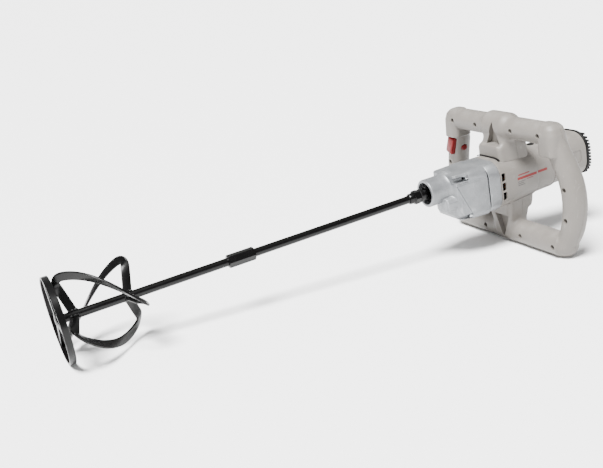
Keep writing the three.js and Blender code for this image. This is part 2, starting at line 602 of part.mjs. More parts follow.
// The two necks that join the bars to the motor housing, drawn in by a given amount.
function necks(inset) {
  const section = (at, ha, hb, r) => (
    { at, a: frameX + 1, b: 0, ha: ha - inset, hb: hb - inset, r: r - inset });
  const upper = loft('z', [
    section(barTopZ, neckHalfX - 1, neckHalfY - 1, 9), section(46, neckHalfX, neckHalfY + 3, 7),
    section(43, saddleHalfX - 2, neckHalfY + 4, 8), section(12, saddleHalfX, neckHalfY + 7, 12)], 4);
  const back = (at, ha, hb, r) => ({ ...section(at, ha, hb, r), a: frameX + 1 - (ha - neckHalfX) });
  const lower = loft('z', [
    back(-40, saddleHalfX - 4, neckHalfY + 8, 9), back(-66, saddleHalfX - 5, neckHalfY + 5, 8),
    back(-69, neckHalfX + 1, neckHalfY + 4, 8), back(barLowZ, neckHalfX - 1, neckHalfY - 2, 9)], 4);
  const collars = [
    rodAlong('y', barTopR + collarRise - inset, -neckHalfY - 3 + inset, neckHalfY + 3 - inset,
      frameX, barTopZ, 20),
    rodAlong('y', barLowR + 1 - inset, -neckHalfY + 2 + inset, neckHalfY - 2 - inset, frameX, barLowZ, 20),
  ];
  return join(upper, lower, ...collars);
}

// Triangular pocket in the front of a neck, pointing at the bar.
function pocket(wide, tip) {
  const shape = new THREE.Shape([[-pocketHalf, wide], [pocketHalf, wide], [0, tip]].map(
    ([y, z]) => new THREE.Vector2(y, z)));
  const geometry = new THREE.ExtrudeGeometry(shape, { depth: 30, bevelEnabled: false });
  const front = frameX + 1 + neckHalfX;
  geometry.applyMatrix4(new THREE.Matrix4().set(
    0, 0, 1, front - pocketDepth, 1, 0, 0, 0, 0, 1, 0, 0, 0, 0, 0, 1));
  return solid(geometry);
}

const gripHoles = [[140, -12], [138.6, -60]].flatMap(([y, z]) => [-1, 1].map(
  (side) => [gripX + gripDepth, side * y, z]));
const frameHoles = [
  ...[-104.7, -43.4, 43.4, 104.7].map((y) => [frameX + barTopR, y, barTopZ]),
  ...[-117.5, -43.4, 43.4, 117.5].map((y) => [frameX + barLowR, y, barLowZ]),
  ...gripHoles,
];
const screwEnd = (z) => (Math.abs(z + 36) < 40 ? gripSeamX - 3 : seamX - 8);
const holeR = 4;
const headSeat = 9;               // depth of a screw head below the surface

const switchY = -131;
const triggerZ = 21;
const triggerLean = Math.atan2(12, 28);
// A block in the left grip, leaning with it: sizes along x, across and along the grip.
function inGrip(x0, x1, halfAcross, halfAlong, rise = 0) {
  const geometry = new THREE.BoxGeometry(x1 - x0, 2 * halfAcross, 2 * halfAlong);
  geometry.translate((x0 + x1) / 2, 0, rise).rotateX(-triggerLean).translate(0, switchY + 3, triggerZ);
  return solid(geometry);
}
const buttonZ = 14;
const buttonY = -116.5;
const buttonX = gripX + 3.5;

function handleShell(front) {
  const shy = front ? gap / 2 : -gap / 2;
  const seam = new THREE.Shape([
    [300, seamX], [62, seamX], [46, gripSeamX + 3], [22, gripSeamX], [-20, gripSeamX + 6], [-62, seamX - 6],
    [-90, seamX], [-300, seamX], [-300, -300], [300, -300],
  ].map(([z, x]) => new THREE.Vector2(z, x + (x > -300 ? shy : 0))));
  const grips = new THREE.ExtrudeGeometry(seam, { depth: 600, bevelEnabled: false });
  grips.applyMatrix4(new THREE.Matrix4().set(0, 1, 0, 0, 0, 0, 1, -300, 1, 0, 0, 0, 0, 0, 0, 1));
  const rearSide = join(
    solid(grips), box(-300, seamX + shy, -seamStepY - shy, seamStepY + shy, -299, 299));
  const keep = front ? cut(box(-290, 0, -290, 290, -290, 290), rearSide) : rearSide;
  const motorOutline = [{ ...housingSections[0], at: coverRear + 3 }, ...housingSections.slice(1)];
  const motor = loft('x', offset(motorOutline, gap));
  const hollow = join(frameBody(wall), cut(necks(wall), loft('x', offset(motorOutline, wall))));
  const posts = frameHoles.map(([x, y, z]) => rodAlong('x', holeR + 2.2, x - 60, x - 1, y, z, 8))
    .reduce((a, b) => a.add(b)).intersect(join(frameBody(0.5)));
  const neckForms = cut(necks(0), pocket(43, 71), pocket(-74, -106));
  const shell = join(cut(join(frameBody(0), neckForms), hollow), posts);
  const holes = frameHoles.flatMap(([x, y, z]) => [
    rodAlong('x', holeR, x - headSeat, x + 20, y, z, 8),
    rodAlong('x', 1.7, screwEnd(z) - 1, x - headSeat + 1, y, z, 6),
  ]);
  return cut(
    shell.intersect(keep), motor, ...holes,
    inGrip(-156, -130, 8.5, 16.5), inGrip(-177, -153, 9.5, 15.5),
    rodAlong('y', 5.5, buttonY - 6, buttonY + 20, buttonX, buttonZ, 16),
    rodAlong('x', 6.5, -200, -170, -124, -97, 16),
  );
}
add('handle_front_shell', 'greyPlastic', handleShell(true));
add('handle_rear_shell', 'greyPlastic', handleShell(false));
frameHoles.forEach(([x, y, z], i) => add(`handle_screw_${i + 1}`, 'darkSteel', join(
  rodAlong('x', holeR - gap, x - headSeat + gap, x - headSeat + 2.6, y, z, 10),
  rodAlong('x', 1.4, screwEnd(z), x - headSeat + 1, y, z, 6))));

// ---- switch, trigger, lock-on button and cable gland -------------------------------------------
add('switch_body', 'blackPlastic', cut(
  inGrip(-176, -158.5, 7, 15), inGrip(-164, -158, 3.5, 6.5)));
add('trigger', 'redPlastic', join(
  inGrip(-152.5, -141, 8, 16), inGrip(-142, -139.5, 7, 14.5), inGrip(-157, -152, 3, 6)));
add('lock_button', 'redPlastic',
  rodAlong('y', 5, buttonY - 0.5, buttonY + 4.5, buttonX, buttonZ, 18, 4.6));
add('cord_gland', 'blackPlastic', cut(
  rodAlong('x', 6.2, -187, -171, -124, -97, 16),
  rodAlong('x', 3.6, -190, -168, -124, -97, 12)));

// ---- resting pose ------------------------------------------------------------------------------
const restSpan = hoopFront - frameX;
const restDrop = -barLowZ - hoopR;
const tip = Math.atan2(restDrop, restSpan) + Math.asin(barLowR / Math.hypot(restSpan, restDrop));
tool.rotation.y = tip;
const group = new THREE.Group();
group.add(tool);
group.updateMatrixWorld(true);
const bounds = new THREE.Box3().setFromObject(group, true);
tool.position.set(-(bounds.min.x + bounds.max.x) / 2, -(bounds.min.y + bounds.max.y) / 2, -bounds.min.z);
group.updateMatrixWorld(true);

export default group;
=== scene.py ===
import bpy
import bmesh
import math
from mathutils import Matrix, Vector


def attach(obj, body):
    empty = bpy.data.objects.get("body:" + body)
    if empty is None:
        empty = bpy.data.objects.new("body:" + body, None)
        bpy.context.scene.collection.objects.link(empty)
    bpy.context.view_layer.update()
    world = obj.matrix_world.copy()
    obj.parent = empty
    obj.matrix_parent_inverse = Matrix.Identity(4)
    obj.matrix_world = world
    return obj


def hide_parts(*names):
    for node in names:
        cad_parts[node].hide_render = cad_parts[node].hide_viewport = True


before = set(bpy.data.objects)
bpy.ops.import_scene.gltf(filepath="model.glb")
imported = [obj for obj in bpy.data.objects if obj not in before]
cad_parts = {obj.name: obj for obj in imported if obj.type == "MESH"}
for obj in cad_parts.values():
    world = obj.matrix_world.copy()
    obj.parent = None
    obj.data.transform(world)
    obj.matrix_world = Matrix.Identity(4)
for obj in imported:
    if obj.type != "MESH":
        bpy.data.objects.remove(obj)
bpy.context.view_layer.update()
print("frame loaded")

# The camera comes before the pieces.
cameraView = {"place": (0.55455, 1.06865, 0.46179), "turn": (72.5298, 6.0392, 153.9687), "lens": 50.944}
cameraData = bpy.data.cameras.new("viewCamera")
cameraData.lens = cameraView["lens"]
cameraData.sensor_width = 36.0
cameraData.clip_end = 1200.0
camera = bpy.data.objects.new("viewCamera", cameraData)
camera.location = cameraView["place"]
camera.rotation_euler = [math.radians(a) for a in cameraView["turn"]]
bpy.context.scene.collection.objects.link(camera)
bpy.context.scene.camera = camera

# Pieces are shaped in millimetres along the spindle (x forward, z up), then laid down at the tool's rest.
rest = {"tip": 4.944753, "place": (-137.505433, 0.0, 110.264457)}
toRow = (Matrix.Scale(0.001, 4) @ Matrix.Translation(rest["place"])
         @ Matrix.Rotation(math.radians(rest["tip"]), 4, "Y"))
axisTurn = {
    "x": Matrix(((0, 0, 1, 0), (1, 0, 0, 0), (0, 1, 0, 0), (0, 0, 0, 1))),
    "y": Matrix(((1, 0, 0, 0), (0, 0, -1, 0), (0, 1, 0, 0), (0, 0, 0, 1))),
    "z": Matrix.Identity(4),
}


# Node groups shared by the materials.


def newGroup(name, inputs, outputs):
    group = bpy.data.node_groups.new(name, "ShaderNodeTree")
    for label, kind, value in inputs:
        socket = group.interface.new_socket(name=label, in_out="INPUT", socket_type=kind)
        socket.default_value = value
    for label, kind in outputs:
        group.interface.new_socket(name=label, in_out="OUTPUT", socket_type=kind)
    return group, group.nodes.new("NodeGroupInput"), group.nodes.new("NodeGroupOutput")


def mathNode(tree, operation, first, second=None, third=None, clamp=False):
    node = tree.nodes.new("ShaderNodeMath")
    node.operation = operation
    node.use_clamp = clamp
    for socket, value in zip(node.inputs, (first, second, third)):
        if value is None:
            continue
        if isinstance(value, (int, float)):
            socket.default_value = value
        else:
            tree.links.new(value, socket)
    return node.outputs[0]


def noiseNode(tree, vector, scale, detail=3.0, roughness=0.55):
    node = tree.nodes.new("ShaderNodeTexNoise")
    tree.links.new(vector, node.inputs["Vector"])
    node.inputs["Detail"].default_value = detail
    node.inputs["Roughness"].default_value = roughness
    if isinstance(scale, (int, float)):
        node.inputs["Scale"].default_value = scale
    else:
        tree.links.new(scale, node.inputs["Scale"])
    return node.outputs["Fac"]


def rangeNode(tree, value, low, high, toLow=0.0, toHigh=1.0):
    node = tree.nodes.new("ShaderNodeMapRange")
    tree.links.new(value, node.inputs["Value"])
    node.inputs["From Min"].default_value = low
    node.inputs["From Max"].default_value = high
    node.inputs["To Min"].default_value = toLow
    node.inputs["To Max"].default_value = toHigh
    return node.outputs["Result"]


def makeGrainGroup():
    # fine moulded or cast grain over a broad uneven mottle
    group, given, out = newGroup(
        "surfaceGrain",
        [("Vector", "NodeSocketVector", (0, 0, 0)), ("Grain Size", "NodeSocketFloat", 900.0),
         ("Mottle Size", "NodeSocketFloat", 25.0), ("Pits", "NodeSocketFloat", 0.0)],
        [("Height", "NodeSocketFloat"), ("Mottle", "NodeSocketFloat"), ("Speckle", "NodeSocketFloat")])
    place = given.outputs["Vector"]
    grain = noiseNode(group, place, given.outputs["Grain Size"], 2.0, 0.6)
    mottle = noiseNode(group, place, given.outputs["Mottle Size"], 4.0, 0.5)
    pits = group.nodes.new("ShaderNodeTexVoronoi")
    group.links.new(place, pits.inputs["Vector"])
    group.links.new(mathNode(group, "MULTIPLY", given.outputs["Grain Size"], 0.35), pits.inputs["Scale"])
    dents = mathNode(group, "MULTIPLY", rangeNode(group, pits.outputs["Distance"], 0.0, 0.35, 1.0, 0.0),
                     given.outputs["Pits"], clamp=True)
    group.links.new(mathNode(group, "SUBTRACT", grain, dents), out.inputs["Height"])
    group.links.new(mottle, out.inputs["Mottle"])
    group.links.new(rangeNode(group, grain, 0.35, 0.65), out.inputs["Speckle"])
    return group


def makeDustGroup():
    # a thin film of dust on faces that look up, broken up by noise
    group, given, out = newGroup(
        "settledDust",
        [("Vector", "NodeSocketVector", (0, 0, 0)), ("Amount", "NodeSocketFloat", 0.2)],
        [("Mask", "NodeSocketFloat")])
    facing = group.nodes.new("ShaderNodeNewGeometry")
    parts = group.nodes.new("ShaderNodeSeparateXYZ")
    group.links.new(facing.outputs["Normal"], parts.inputs["Vector"])
    upward = rangeNode(group, parts.outputs["Z"], 0.1, 1.0)
    patchy = rangeNode(group, noiseNode(group, given.outputs["Vector"], 60.0, 5.0, 0.6), 0.4, 0.75)
    mask = mathNode(group, "MULTIPLY", mathNode(group, "MULTIPLY", upward, patchy), given.outputs["Amount"])
    group.links.new(mask, out.inputs["Mask"])
    return group


def makeScuffGroup():
    # hair scratches: noise stretched along two directions, kept where it is highest
    group, given, out = newGroup(
        "hairScratches",
        [("Vector", "NodeSocketVector", (0, 0, 0)), ("Amount", "NodeSocketFloat", 0.3)],
        [("Mask", "NodeSocketFloat")])
    total = None
    for turn, stretch in ((20.0, (40.0, 900.0, 40.0)), (-35.0, (900.0, 60.0, 60.0))):
        mapping = group.nodes.new("ShaderNodeMapping")
        group.links.new(given.outputs["Vector"], mapping.inputs["Vector"])
        mapping.inputs["Rotation"].default_value = (0.0, math.radians(turn), math.radians(turn))
        mapping.inputs["Scale"].default_value = stretch
        lines = rangeNode(group, noiseNode(group, mapping.outputs["Vector"], 1.0, 2.0), 0.66, 0.74)
        total = lines if total is None else mathNode(group, "MAXIMUM", total, lines)
    mask = mathNode(group, "MULTIPLY", total, given.outputs["Amount"], clamp=True)
    group.links.new(mask, out.inputs["Mask"])
    return group


grainGroup = makeGrainGroup()
dustGroup = makeDustGroup()
scuffGroup = makeScuffGroup()


def linear(red, green, blue):
    # a colour given from 0 to 255, in linear light
    shares = [level / 255 for level in (red, green, blue)]
    return tuple(c / 12.92 if c < 0.0404 else ((c + 0.055) / 1.055) ** 2.4 for c in shares) + (1.0,)


def groupNode(tree, group, vector, **values):
    node = tree.nodes.new("ShaderNodeGroup")
    node.node_tree = group
    tree.links.new(vector, node.inputs["Vector"])
    for label, value in values.items():
        node.inputs[label].default_value = value
    return node


def mixColour(tree, factor, first, second):
    node = tree.nodes.new("ShaderNodeMix")
    node.data_type = "RGBA"
    tree.links.new(factor, node.inputs["Factor"])
    for socket, value in ((node.inputs["A"], first), (node.inputs["B"], second)):
        if isinstance(value, tuple):
            socket.default_value = value
        else:
            tree.links.new(value, socket)
    return node.outputs["Result"]


def makeMaterial(name, look):
    material = bpy.data.materials.new(name)
    material.use_nodes = True
    tree = material.node_tree
    shader = tree.nodes["Principled BSDF"]
    place = tree.nodes.new("ShaderNodeTexCoord").outputs["Object"]
    grain = groupNode(tree, grainGroup, place, **{
        "Grain Size": look["grain"], "Mottle Size": look["mottle"], "Pits": look.get("pits", 0.0)})
    dust = groupNode(tree, dustGroup, place, Amount=look.get("dust", 0.1))
    scuffs = groupNode(tree, scuffGroup, place, Amount=look.get("scuff", 0.1))
    broad = rangeNode(tree, grain.outputs["Mottle"], 0.3, 0.7)
    colour = mixColour(tree, broad, linear(*look["dark"]), linear(*look["light"]))
    if "speckle" in look:
        fine = mathNode(tree, "MULTIPLY", grain.outputs["Speckle"], look["speckleShare"])
        colour = mixColour(tree, fine, colour, linear(*look["speckle"]))
    dustColour = linear(*look.get("dustColour", (205, 202, 196)))
    scuffColour = linear(*look.get("scuffColour", (225, 225, 225)))
    colour = mixColour(tree, dust.outputs["Mask"], colour, dustColour)
    colour = mixColour(tree, scuffs.outputs["Mask"], colour, scuffColour)
    tree.links.new(colour, shader.inputs["Base Color"])
    rough = mathNode(tree, "MULTIPLY_ADD", grain.outputs["Mottle"], look["roughSpread"],
                     look["rough"] - look["roughSpread"] * 0.5)
    rough = mathNode(tree, "ADD", rough, mathNode(tree, "MULTIPLY", dust.outputs["Mask"], 0.4))
    worn = mathNode(tree, "MULTIPLY", scuffs.outputs["Mask"], 0.25)
    rough = mathNode(tree, "ADD", rough, worn, clamp=True)
    tree.links.new(rough, shader.inputs["Roughness"])
    shader.inputs["Metallic"].default_value = look.get("metal", 0.0)
    shader.inputs["Specular IOR Level"].default_value = look.get("specular", 0.5)
    bump = tree.nodes.new("ShaderNodeBump")
    bump.inputs["Strength"].default_value = look["bump"]
    bump.inputs["Distance"].default_value = look.get("depth", 0.0002)
    tree.links.new(grain.outputs["Height"], bump.inputs["Height"])
    tree.links.new(bump.outputs["Normal"], shader.inputs["Normal"])
    return material


looks = {
    "greyPlastic": {"dark": (95, 91, 86), "light": (103, 99, 94), "speckle": (84, 80, 75),
                    "speckleShare": 0.22, "grain": 1400.0, "mottle": 18.0, "rough": 0.5, "roughSpread": 0.1,
                    "bump": 0.28, "dust": 0.08, "scuff": 0.05, "specular": 0.42},
    "castAluminium": {"dark": (112, 114, 116), "light": (132, 134, 136), "speckle": (84, 86, 88),
                      "speckleShare": 0.35, "grain": 900.0, "mottle": 45.0, "pits": 0.45, "rough": 0.42,
                      "roughSpread": 0.22, "bump": 0.45, "depth": 0.0003, "metal": 0.55, "dust": 0.05,
                      "scuff": 0.15, "specular": 0.5},
    "blackPaint": {"dark": (0, 0, 0), "light": (2, 2, 2), "grain": 260.0, "mottle": 60.0, "rough": 0.26,
                   "roughSpread": 0.1, "bump": 0.1, "dust": 0.0, "scuff": 0.06,
                   "scuffColour": (30, 30, 32), "specular": 0.24},
    "blackPlastic": {"dark": (5, 5, 5), "light": (10, 10, 10), "speckle": (18, 18, 18),
                     "speckleShare": 0.2, "grain": 1200.0, "mottle": 30.0, "rough": 0.55, "roughSpread": 0.15,
                     "bump": 0.35, "dust": 0.03, "dustColour": (50, 49, 48), "scuff": 0.1,
                     "scuffColour": (30, 30, 30), "specular": 0.16},
    "redPlastic": {"dark": (96, 0, 0), "light": (104, 0, 1), "speckle": (84, 0, 0),
                   "speckleShare": 0.2, "grain": 1300.0, "mottle": 40.0, "rough": 0.38, "roughSpread": 0.12,
                   "bump": 0.2, "dust": 0.0, "scuff": 0.04, "scuffColour": (150, 20, 20), "specular": 0.25},
    "brightSteel": {"dark": (168, 170, 172), "light": (196, 198, 200), "grain": 1500.0, "mottle": 90.0,
                    "rough": 0.3, "roughSpread": 0.2, "bump": 0.12, "metal": 1.0, "dust": 0.03, "scuff": 0.3},
    "darkSteel": {"dark": (58, 59, 61), "light": (86, 87, 90), "grain": 1200.0, "mottle": 70.0,
                  "rough": 0.45, "roughSpread": 0.25, "bump": 0.25, "metal": 0.9, "dust": 0.08, "scuff": 0.3,
                  "dustColour": (110, 105, 100)},
    "woundCopper": {"dark": (158, 84, 44), "light": (196, 116, 66), "grain": 2200.0, "mottle": 120.0,
                    "rough": 0.35, "roughSpread": 0.2, "bump": 0.5, "metal": 0.9, "dust": 0.05, "scuff": 0.1},
    "markRed": {"dark": (96, 0, 1), "light": (106, 0, 2), "grain": 1300.0, "mottle": 40.0, "rough": 0.5,
                "roughSpread": 0.1, "bump": 0.1, "specular": 0.3},
    "markGrey": {"dark": (44, 43, 42), "light": (54, 53, 52), "grain": 1300.0, "mottle": 40.0, "rough": 0.5,
                 "roughSpread": 0.1, "bump": 0.1},
    "carbonBlock": {"dark": (30, 30, 32), "light": (46, 46, 48), "grain": 1800.0, "mottle": 80.0,
                    "rough": 0.6, "roughSpread": 0.15, "bump": 0.3, "metal": 0.2, "dust": 0.1, "scuff": 0.1,
                    "dustColour": (80, 80, 80)},
}
materials = {name: makeMaterial(name, look) for name, look in looks.items()}
print("materials made")

# Shaping helpers.


def placeMatrix(axis, at, a, b):
    centre = {"x": (at, a, b), "y": (a, at, b), "z": (a, b, at)}[axis]
    return Matrix.Translation(centre) @ axisTurn[axis]


def roundedRing(bm, axis, at, a, b, halfA, halfB, corner, steps=7):
    # a flat rounded rectangle, bevelled at its four corners; gives back its one face
    known = set(bm.faces)
    corners = bmesh.ops.create_grid(bm, x_segments=1, y_segments=1, size=1.0)["verts"]
    bmesh.ops.scale(bm, vec=(halfA, halfB, 1.0), verts=corners)
    offset = min(corner, halfA * 0.985, halfB * 0.985)
    bmesh.ops.bevel(bm, geom=corners, offset=offset, offset_type="OFFSET", segments=steps, profile=0.5,
                    affect="VERTICES", material=-1, clamp_overlap=False)
    face = next(f for f in bm.faces if f not in known)
    bmesh.ops.transform(bm, matrix=placeMatrix(axis, at, a, b), verts=face.verts)
    return face


def addLoft(bm, axis, sections, steps=7, capped=True):
    # sections are (at, a, b, halfA, halfB, corner); neighbours are bridged in turn
    faces = [roundedRing(bm, axis, *section, steps=steps) for section in sections]
    rings = [list(face.edges) for face in faces]
    inner = faces[1:-1] if capped else faces
    bmesh.ops.delete(bm, geom=inner, context="FACES_ONLY")
    for first, second in zip(rings, rings[1:]):
        bmesh.ops.bridge_loops(bm, edges=first + second)


def addBar(bm, axis, start, end, a, b, radius, sides=48):
    where = placeMatrix(axis, (start + end) / 2, a, b)
    if axis == "y":
        where = where @ Matrix.Scale(-1, 4, (0, 0, 1))
    bmesh.ops.create_cone(bm, cap_ends=True, segments=sides, radius1=radius, radius2=radius,
                          depth=end - start, matrix=where)


def addBlock(bm, x0, x1, y0, y1, z0, z1):
    where = Matrix.Translation(((x0 + x1) / 2, (y0 + y1) / 2, (z0 + z1) / 2)) @ Matrix.Diagonal(
        (x1 - x0, y1 - y0, z1 - z0, 1.0))
    return bmesh.ops.create_cube(bm, size=1.0, matrix=where)["verts"]


def addSpun(bm, profile, steps=64, y=0.0, z=0.0, closed=False):
    # a turned form about the spindle's direction, from (x, radius) pairs
    points = [bm.verts.new((x, 0.0, r)) for x, r in profile]
    edges = [bm.edges.new(pair) for pair in zip(points, points[1:])]
    if closed:
        edges.append(bm.edges.new((points[-1], points[0])))
    made = bmesh.ops.spin(bm, geom=points + edges, cent=(0, 0, 0), axis=(1, 0, 0), dvec=(0, 0, 0),
                          angle=math.tau, steps=steps, use_merge=True)
    verts = list({v for v in points} | {g for g in made["geom_last"] if isinstance(g, bmesh.types.BMVert)})
    island = set(verts)
    queue = list(verts)
    while queue:
        for edge in queue.pop().link_edges:
            for v in edge.verts:
                if v not in island:
                    island.add(v)
                    queue.append(v)
    bmesh.ops.remove_doubles(bm, verts=list(island), dist=0.001)
    alive = [v for v in island if v.is_valid]
    if y or z:
        bmesh.ops.translate(bm, vec=(0, y, z), verts=alive)
    return alive


def asObject(name, bm):
    bmesh.ops.remove_doubles(bm, verts=bm.verts, dist=0.0005)
    bmesh.ops.recalc_face_normals(bm, faces=bm.faces)
    mesh = bpy.data.meshes.new(name)
    bm.to_mesh(mesh)
    bm.free()
    piece = bpy.data.objects.new(name, mesh)
    bpy.context.scene.collection.objects.link(piece)
    return piece


def applyModifiers(piece):
    graph = bpy.context.evaluated_depsgraph_get()
    done = bpy.data.meshes.new_from_object(piece.evaluated_get(graph))
    piece.modifiers.clear()
    old = piece.data
    piece.data = done
    bpy.data.meshes.remove(old)
    return piece


def remesh(piece, size):
    step = piece.modifiers.new("remesh", "REMESH")
    step.mode = "VOXEL"
    step.voxel_size = size
    step.use_smooth_shade = True
    applyModifiers(piece)


def addWall(piece, thickness, offset=-1.0, even=False):
    step = piece.modifiers.new("wall", "SOLIDIFY")
    step.thickness = thickness
    step.offset = offset
    step.use_even_offset = even
    applyModifiers(piece)


def combine(piece, other, operation="DIFFERENCE", solver="MANIFOLD"):
    step = piece.modifiers.new("cut", "BOOLEAN")
    step.operation = operation
    step.solver = solver
    step.object = other
    applyModifiers(piece)
    bpy.data.objects.remove(other)
    return piece


def smoothPiece(piece, rounds, near=None):
    # near says which places are smoothed; without it, all are
    bm = bmesh.new()
    bm.from_mesh(piece.data)
    verts = [v for v in bm.verts if near is None or near(v.co)]
    for _ in range(rounds):
        bmesh.ops.smooth_vert(bm, verts=verts, factor=0.5, use_axis_x=True, use_axis_y=True,
                              use_axis_z=True)
    bm.to_mesh(piece.data)
    bm.free()


def finish(piece, material, body="housing", stands=(), bevel=0.0, sharp=35.0, segments=2):
    # lays the piece down at the tool's rest and gives it its finish and its body
    if bevel:
        step = piece.modifiers.new("bevel", "BEVEL")
        step.width = bevel
        step.segments = segments
        step.limit_method = "ANGLE"
        step.angle_limit = math.radians(sharp)
        step.harden_normals = False
        applyModifiers(piece)
    piece.data.transform(toRow)
    piece.data.update()
    piece.data.shade_smooth()
    piece.data.set_sharp_from_angle(angle=math.radians(sharp))
    piece.data.materials.clear()
    piece.data.materials.append(materials[material])
    if stands:
        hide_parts(*stands)
    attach(piece, body)
    print("made", piece.name, len(piece.data.polygons))
    return piece


# Gear case.

caseSize = {
    "noseR": 21.75, "recessR": 17.6, "recessDepth": 8.0, "boss": (17.0, -22.0, 12.6), "voxel": 0.7,
    "screws": ((28, 14), (28, -46), (-28, 14), (-28, -46)),
}


def caseSection(at, half, top, low, corner):
    return (at, 0.0, (top + low) / 2, half, (top - low) / 2, corner)


caseSections = [
    caseSection(-34.5, 22.6, 22.0, -42.5, 6), caseSection(-38.0, 30.6, 22.6, -48.6, 8),
    caseSection(-62, 33.0, 23.0, -54.3, 10), caseSection(-91.6, 36.6, 23.6, -56.3, 15),
]


def makeGearCase():
    size = caseSize
    bm = bmesh.new()
    addLoft(bm, "x", caseSections, steps=10)
    addSpun(bm, [(-46, 0), (-46, 26), (-38, 25.5), (-34.5, 22.9), (-30, size["noseR"]),
                 (-1.0, size["noseR"]), (0.0, size["noseR"] - 0.9), (0.0, 0)], steps=96)
    bossY, bossZ, bossR = size["boss"]
    addSpun(bm, [(-46, 0), (-46, bossR + 3), (-32, bossR + 0.4), (-22, bossR - 0.6), (-20, bossR - 2.6),
                 (-20, 0)], steps=10, y=bossY, z=bossZ)
    ledge = addBlock(bm, -57, -34.7, 4, 34.2, 9.5, 22.4)
    for v in ledge:
        if v.co.x > -40 and v.co.y > 20:
            v.co.y -= 6.0
        if v.co.z > 15 and v.co.y > 20:
            v.co.y -= 2.0
    # the side panels stand slightly proud and start at a slanted edge
    for side in (1, -1):
        panel = addBlock(bm, -91.6, -37.5, side * 20, side * 35.0, -45, 6.5)
        for v in panel:
            if v.co.x > -60:
                v.co.y += side * (1.2 if v.co.z < -20 else -0.8)
                v.co.x -= 22.0 if v.co.z < -20 else 0.0
            else:
                v.co.y += side * 2.6
    lower = addBlock(bm, -91.6, -44, -22, 22, -57.2, -40)
    for v in lower:
        if v.co.z < -50 and v.co.x > -60:
            v.co.z += 4.2
    piece = asObject("gearCase", bm)
    remesh(piece, size["voxel"])
    smoothPiece(piece, 2)
    smoothPiece(piece, 6, near=lambda p: -36 < p.x < -28 and math.hypot(p.y, p.z) < 25)

    cutter = bmesh.new()
    addSpun(cutter, [(5, 0), (5, size["recessR"]), (-size["recessDepth"] - 14, size["recessR"]),
                     (-size["recessDepth"] - 14, 12.5), (-100, 12.5), (-100, 0)], steps=72)
    combine(piece, asObject("bore", cutter))
    cutter = bmesh.new()
    addLoft(cutter, "x", [caseSection(-48, 22, 20.2, -40, 8), caseSection(-62, 27.5, 20.6, -50, 9),
                          caseSection(-93, 32.6, 21, -52.3, 13)], steps=6)
    combine(piece, asObject("hollow", cutter))
    # screw notches, open outwards
    cutter = bmesh.new()
    for y, z in size["screws"]:
        addBar(cutter, "x", -59.5, -30, y * 1.02, z * 1.02, 4.7, sides=28)
    combine(piece, asObject("notches", cutter))
    cutter = bmesh.new()
    for y, z in size["screws"]:
        outward = y + math.copysign(14, y)
        addBlock(cutter, -59.5, -52, min(y, outward), max(y, outward), z - 3.4, z + 3.4)
    combine(piece, asObject("notchMouths", cutter))
    finish(piece, "castAluminium", stands=["gear_case"], sharp=40)


makeGearCase()


def addCaseScrews():
    screw = {"headR": 3.9, "socketR": 2.0, "rear": -64.0, "front": -55.5, "socketDepth": 2.6}
    rear, front, headR = screw["rear"], screw["front"], screw["headR"]
    for number, (y, z) in enumerate(caseSize["screws"], 1):
        bm = bmesh.new()
        addSpun(bm, [(rear, 0), (rear, headR), (front - 0.6, headR), (front, headR - 0.6), (front, 0)],
                steps=32, y=y, z=z)
        piece = asObject("caseScrew" + str(number), bm)
        cutter = bmesh.new()
        addBar(cutter, "x", front - screw["socketDepth"], front + 2, y, z, screw["socketR"], sides=6)
        combine(piece, asObject("socket", cutter))
        finish(piece, "brightSteel", stands=["case_screw_" + str(number)],
               sharp=30)


addCaseScrews()


def makeCover():
    bm = bmesh.new()
    addLoft(bm, "x", [(-92.5, 0, -16, 38.2, 38.2, 19), (-93.3, 0, -16, 38.8, 38.8, 20),
                      (-112.2, 0, -16, 39.9, 39.9, 24.5), (-112.8, 0, -16, 39.4, 39.4, 24)],
            steps=10, capped=False)
    piece = asObject("caseCover", bm)
    addWall(piece, 4.0)
    finish(piece, "castAluminium", stands=["gear_case_cover"], sharp=30)
    bm = bmesh.new()
    addLoft(bm, "x", [(-91.3, 0, -16.2, 36.4, 38.6, 16), (-92.7, 0, -16.2, 36.6, 38.6, 17)], steps=10,
            capped=False)
    gasket = asObject("caseGasket", bm)
    addWall(gasket, 3.0)
    finish(gasket, "blackPlastic")


makeCover()
print("gear case finished")

# Motor housing, rear cap and grille.

motorSize = {"axisZ": -16.0, "capZ": -13.0, "wall": 3.0, "capWall": 2.6, "slotX": -119.2, "slotHalf": 3.7,
             "slotTop": 6.0, "slotLow": -40.0}


def tube(name, sections, wall, steps=12):
    bm = bmesh.new()
    addLoft(bm, "x", sections, steps=steps, capped=False)
    piece = asObject(name, bm)
    addWall(piece, wall, even=True)
    return piece


def makeMotorHousing():
    z = motorSize["axisZ"]
    piece = tube("motorHousing", [
        (-113.3, 0, z, 39.4, 39.4, 24.5), (-114.0, 0, z, 40, 40, 25), (-130, 0, z, 40, 40, 28),
        (-185, 0, z, 39.3, 39.3, 32), (-186, 0, z, 38.9, 38.9, 32), (-187.2, 0, z, 38.1, 38.1, 33),
        (-221.2, 0, z, 37.4, 37.4, 33), (-221.9, 0, z, 36.9, 36.9, 32.5)], motorSize["wall"])
    cutter = bmesh.new()
    share = (motorSize["slotTop"] - motorSize["slotLow"]) / 3
    for side in (1, -1):
        for k in range(3):
            middle = motorSize["slotLow"] + (k + 0.5) * share
            addLoft(cutter, "y", [(side * reach, motorSize["slotX"], middle, motorSize["slotHalf"],
                                   share / 2 - 1, 1.6) for reach in (30, 48)], steps=4)
    combine(piece, asObject("slots", cutter), solver="EXACT")
    finish(piece, "greyPlastic", stands=["motor_housing"], sharp=30)


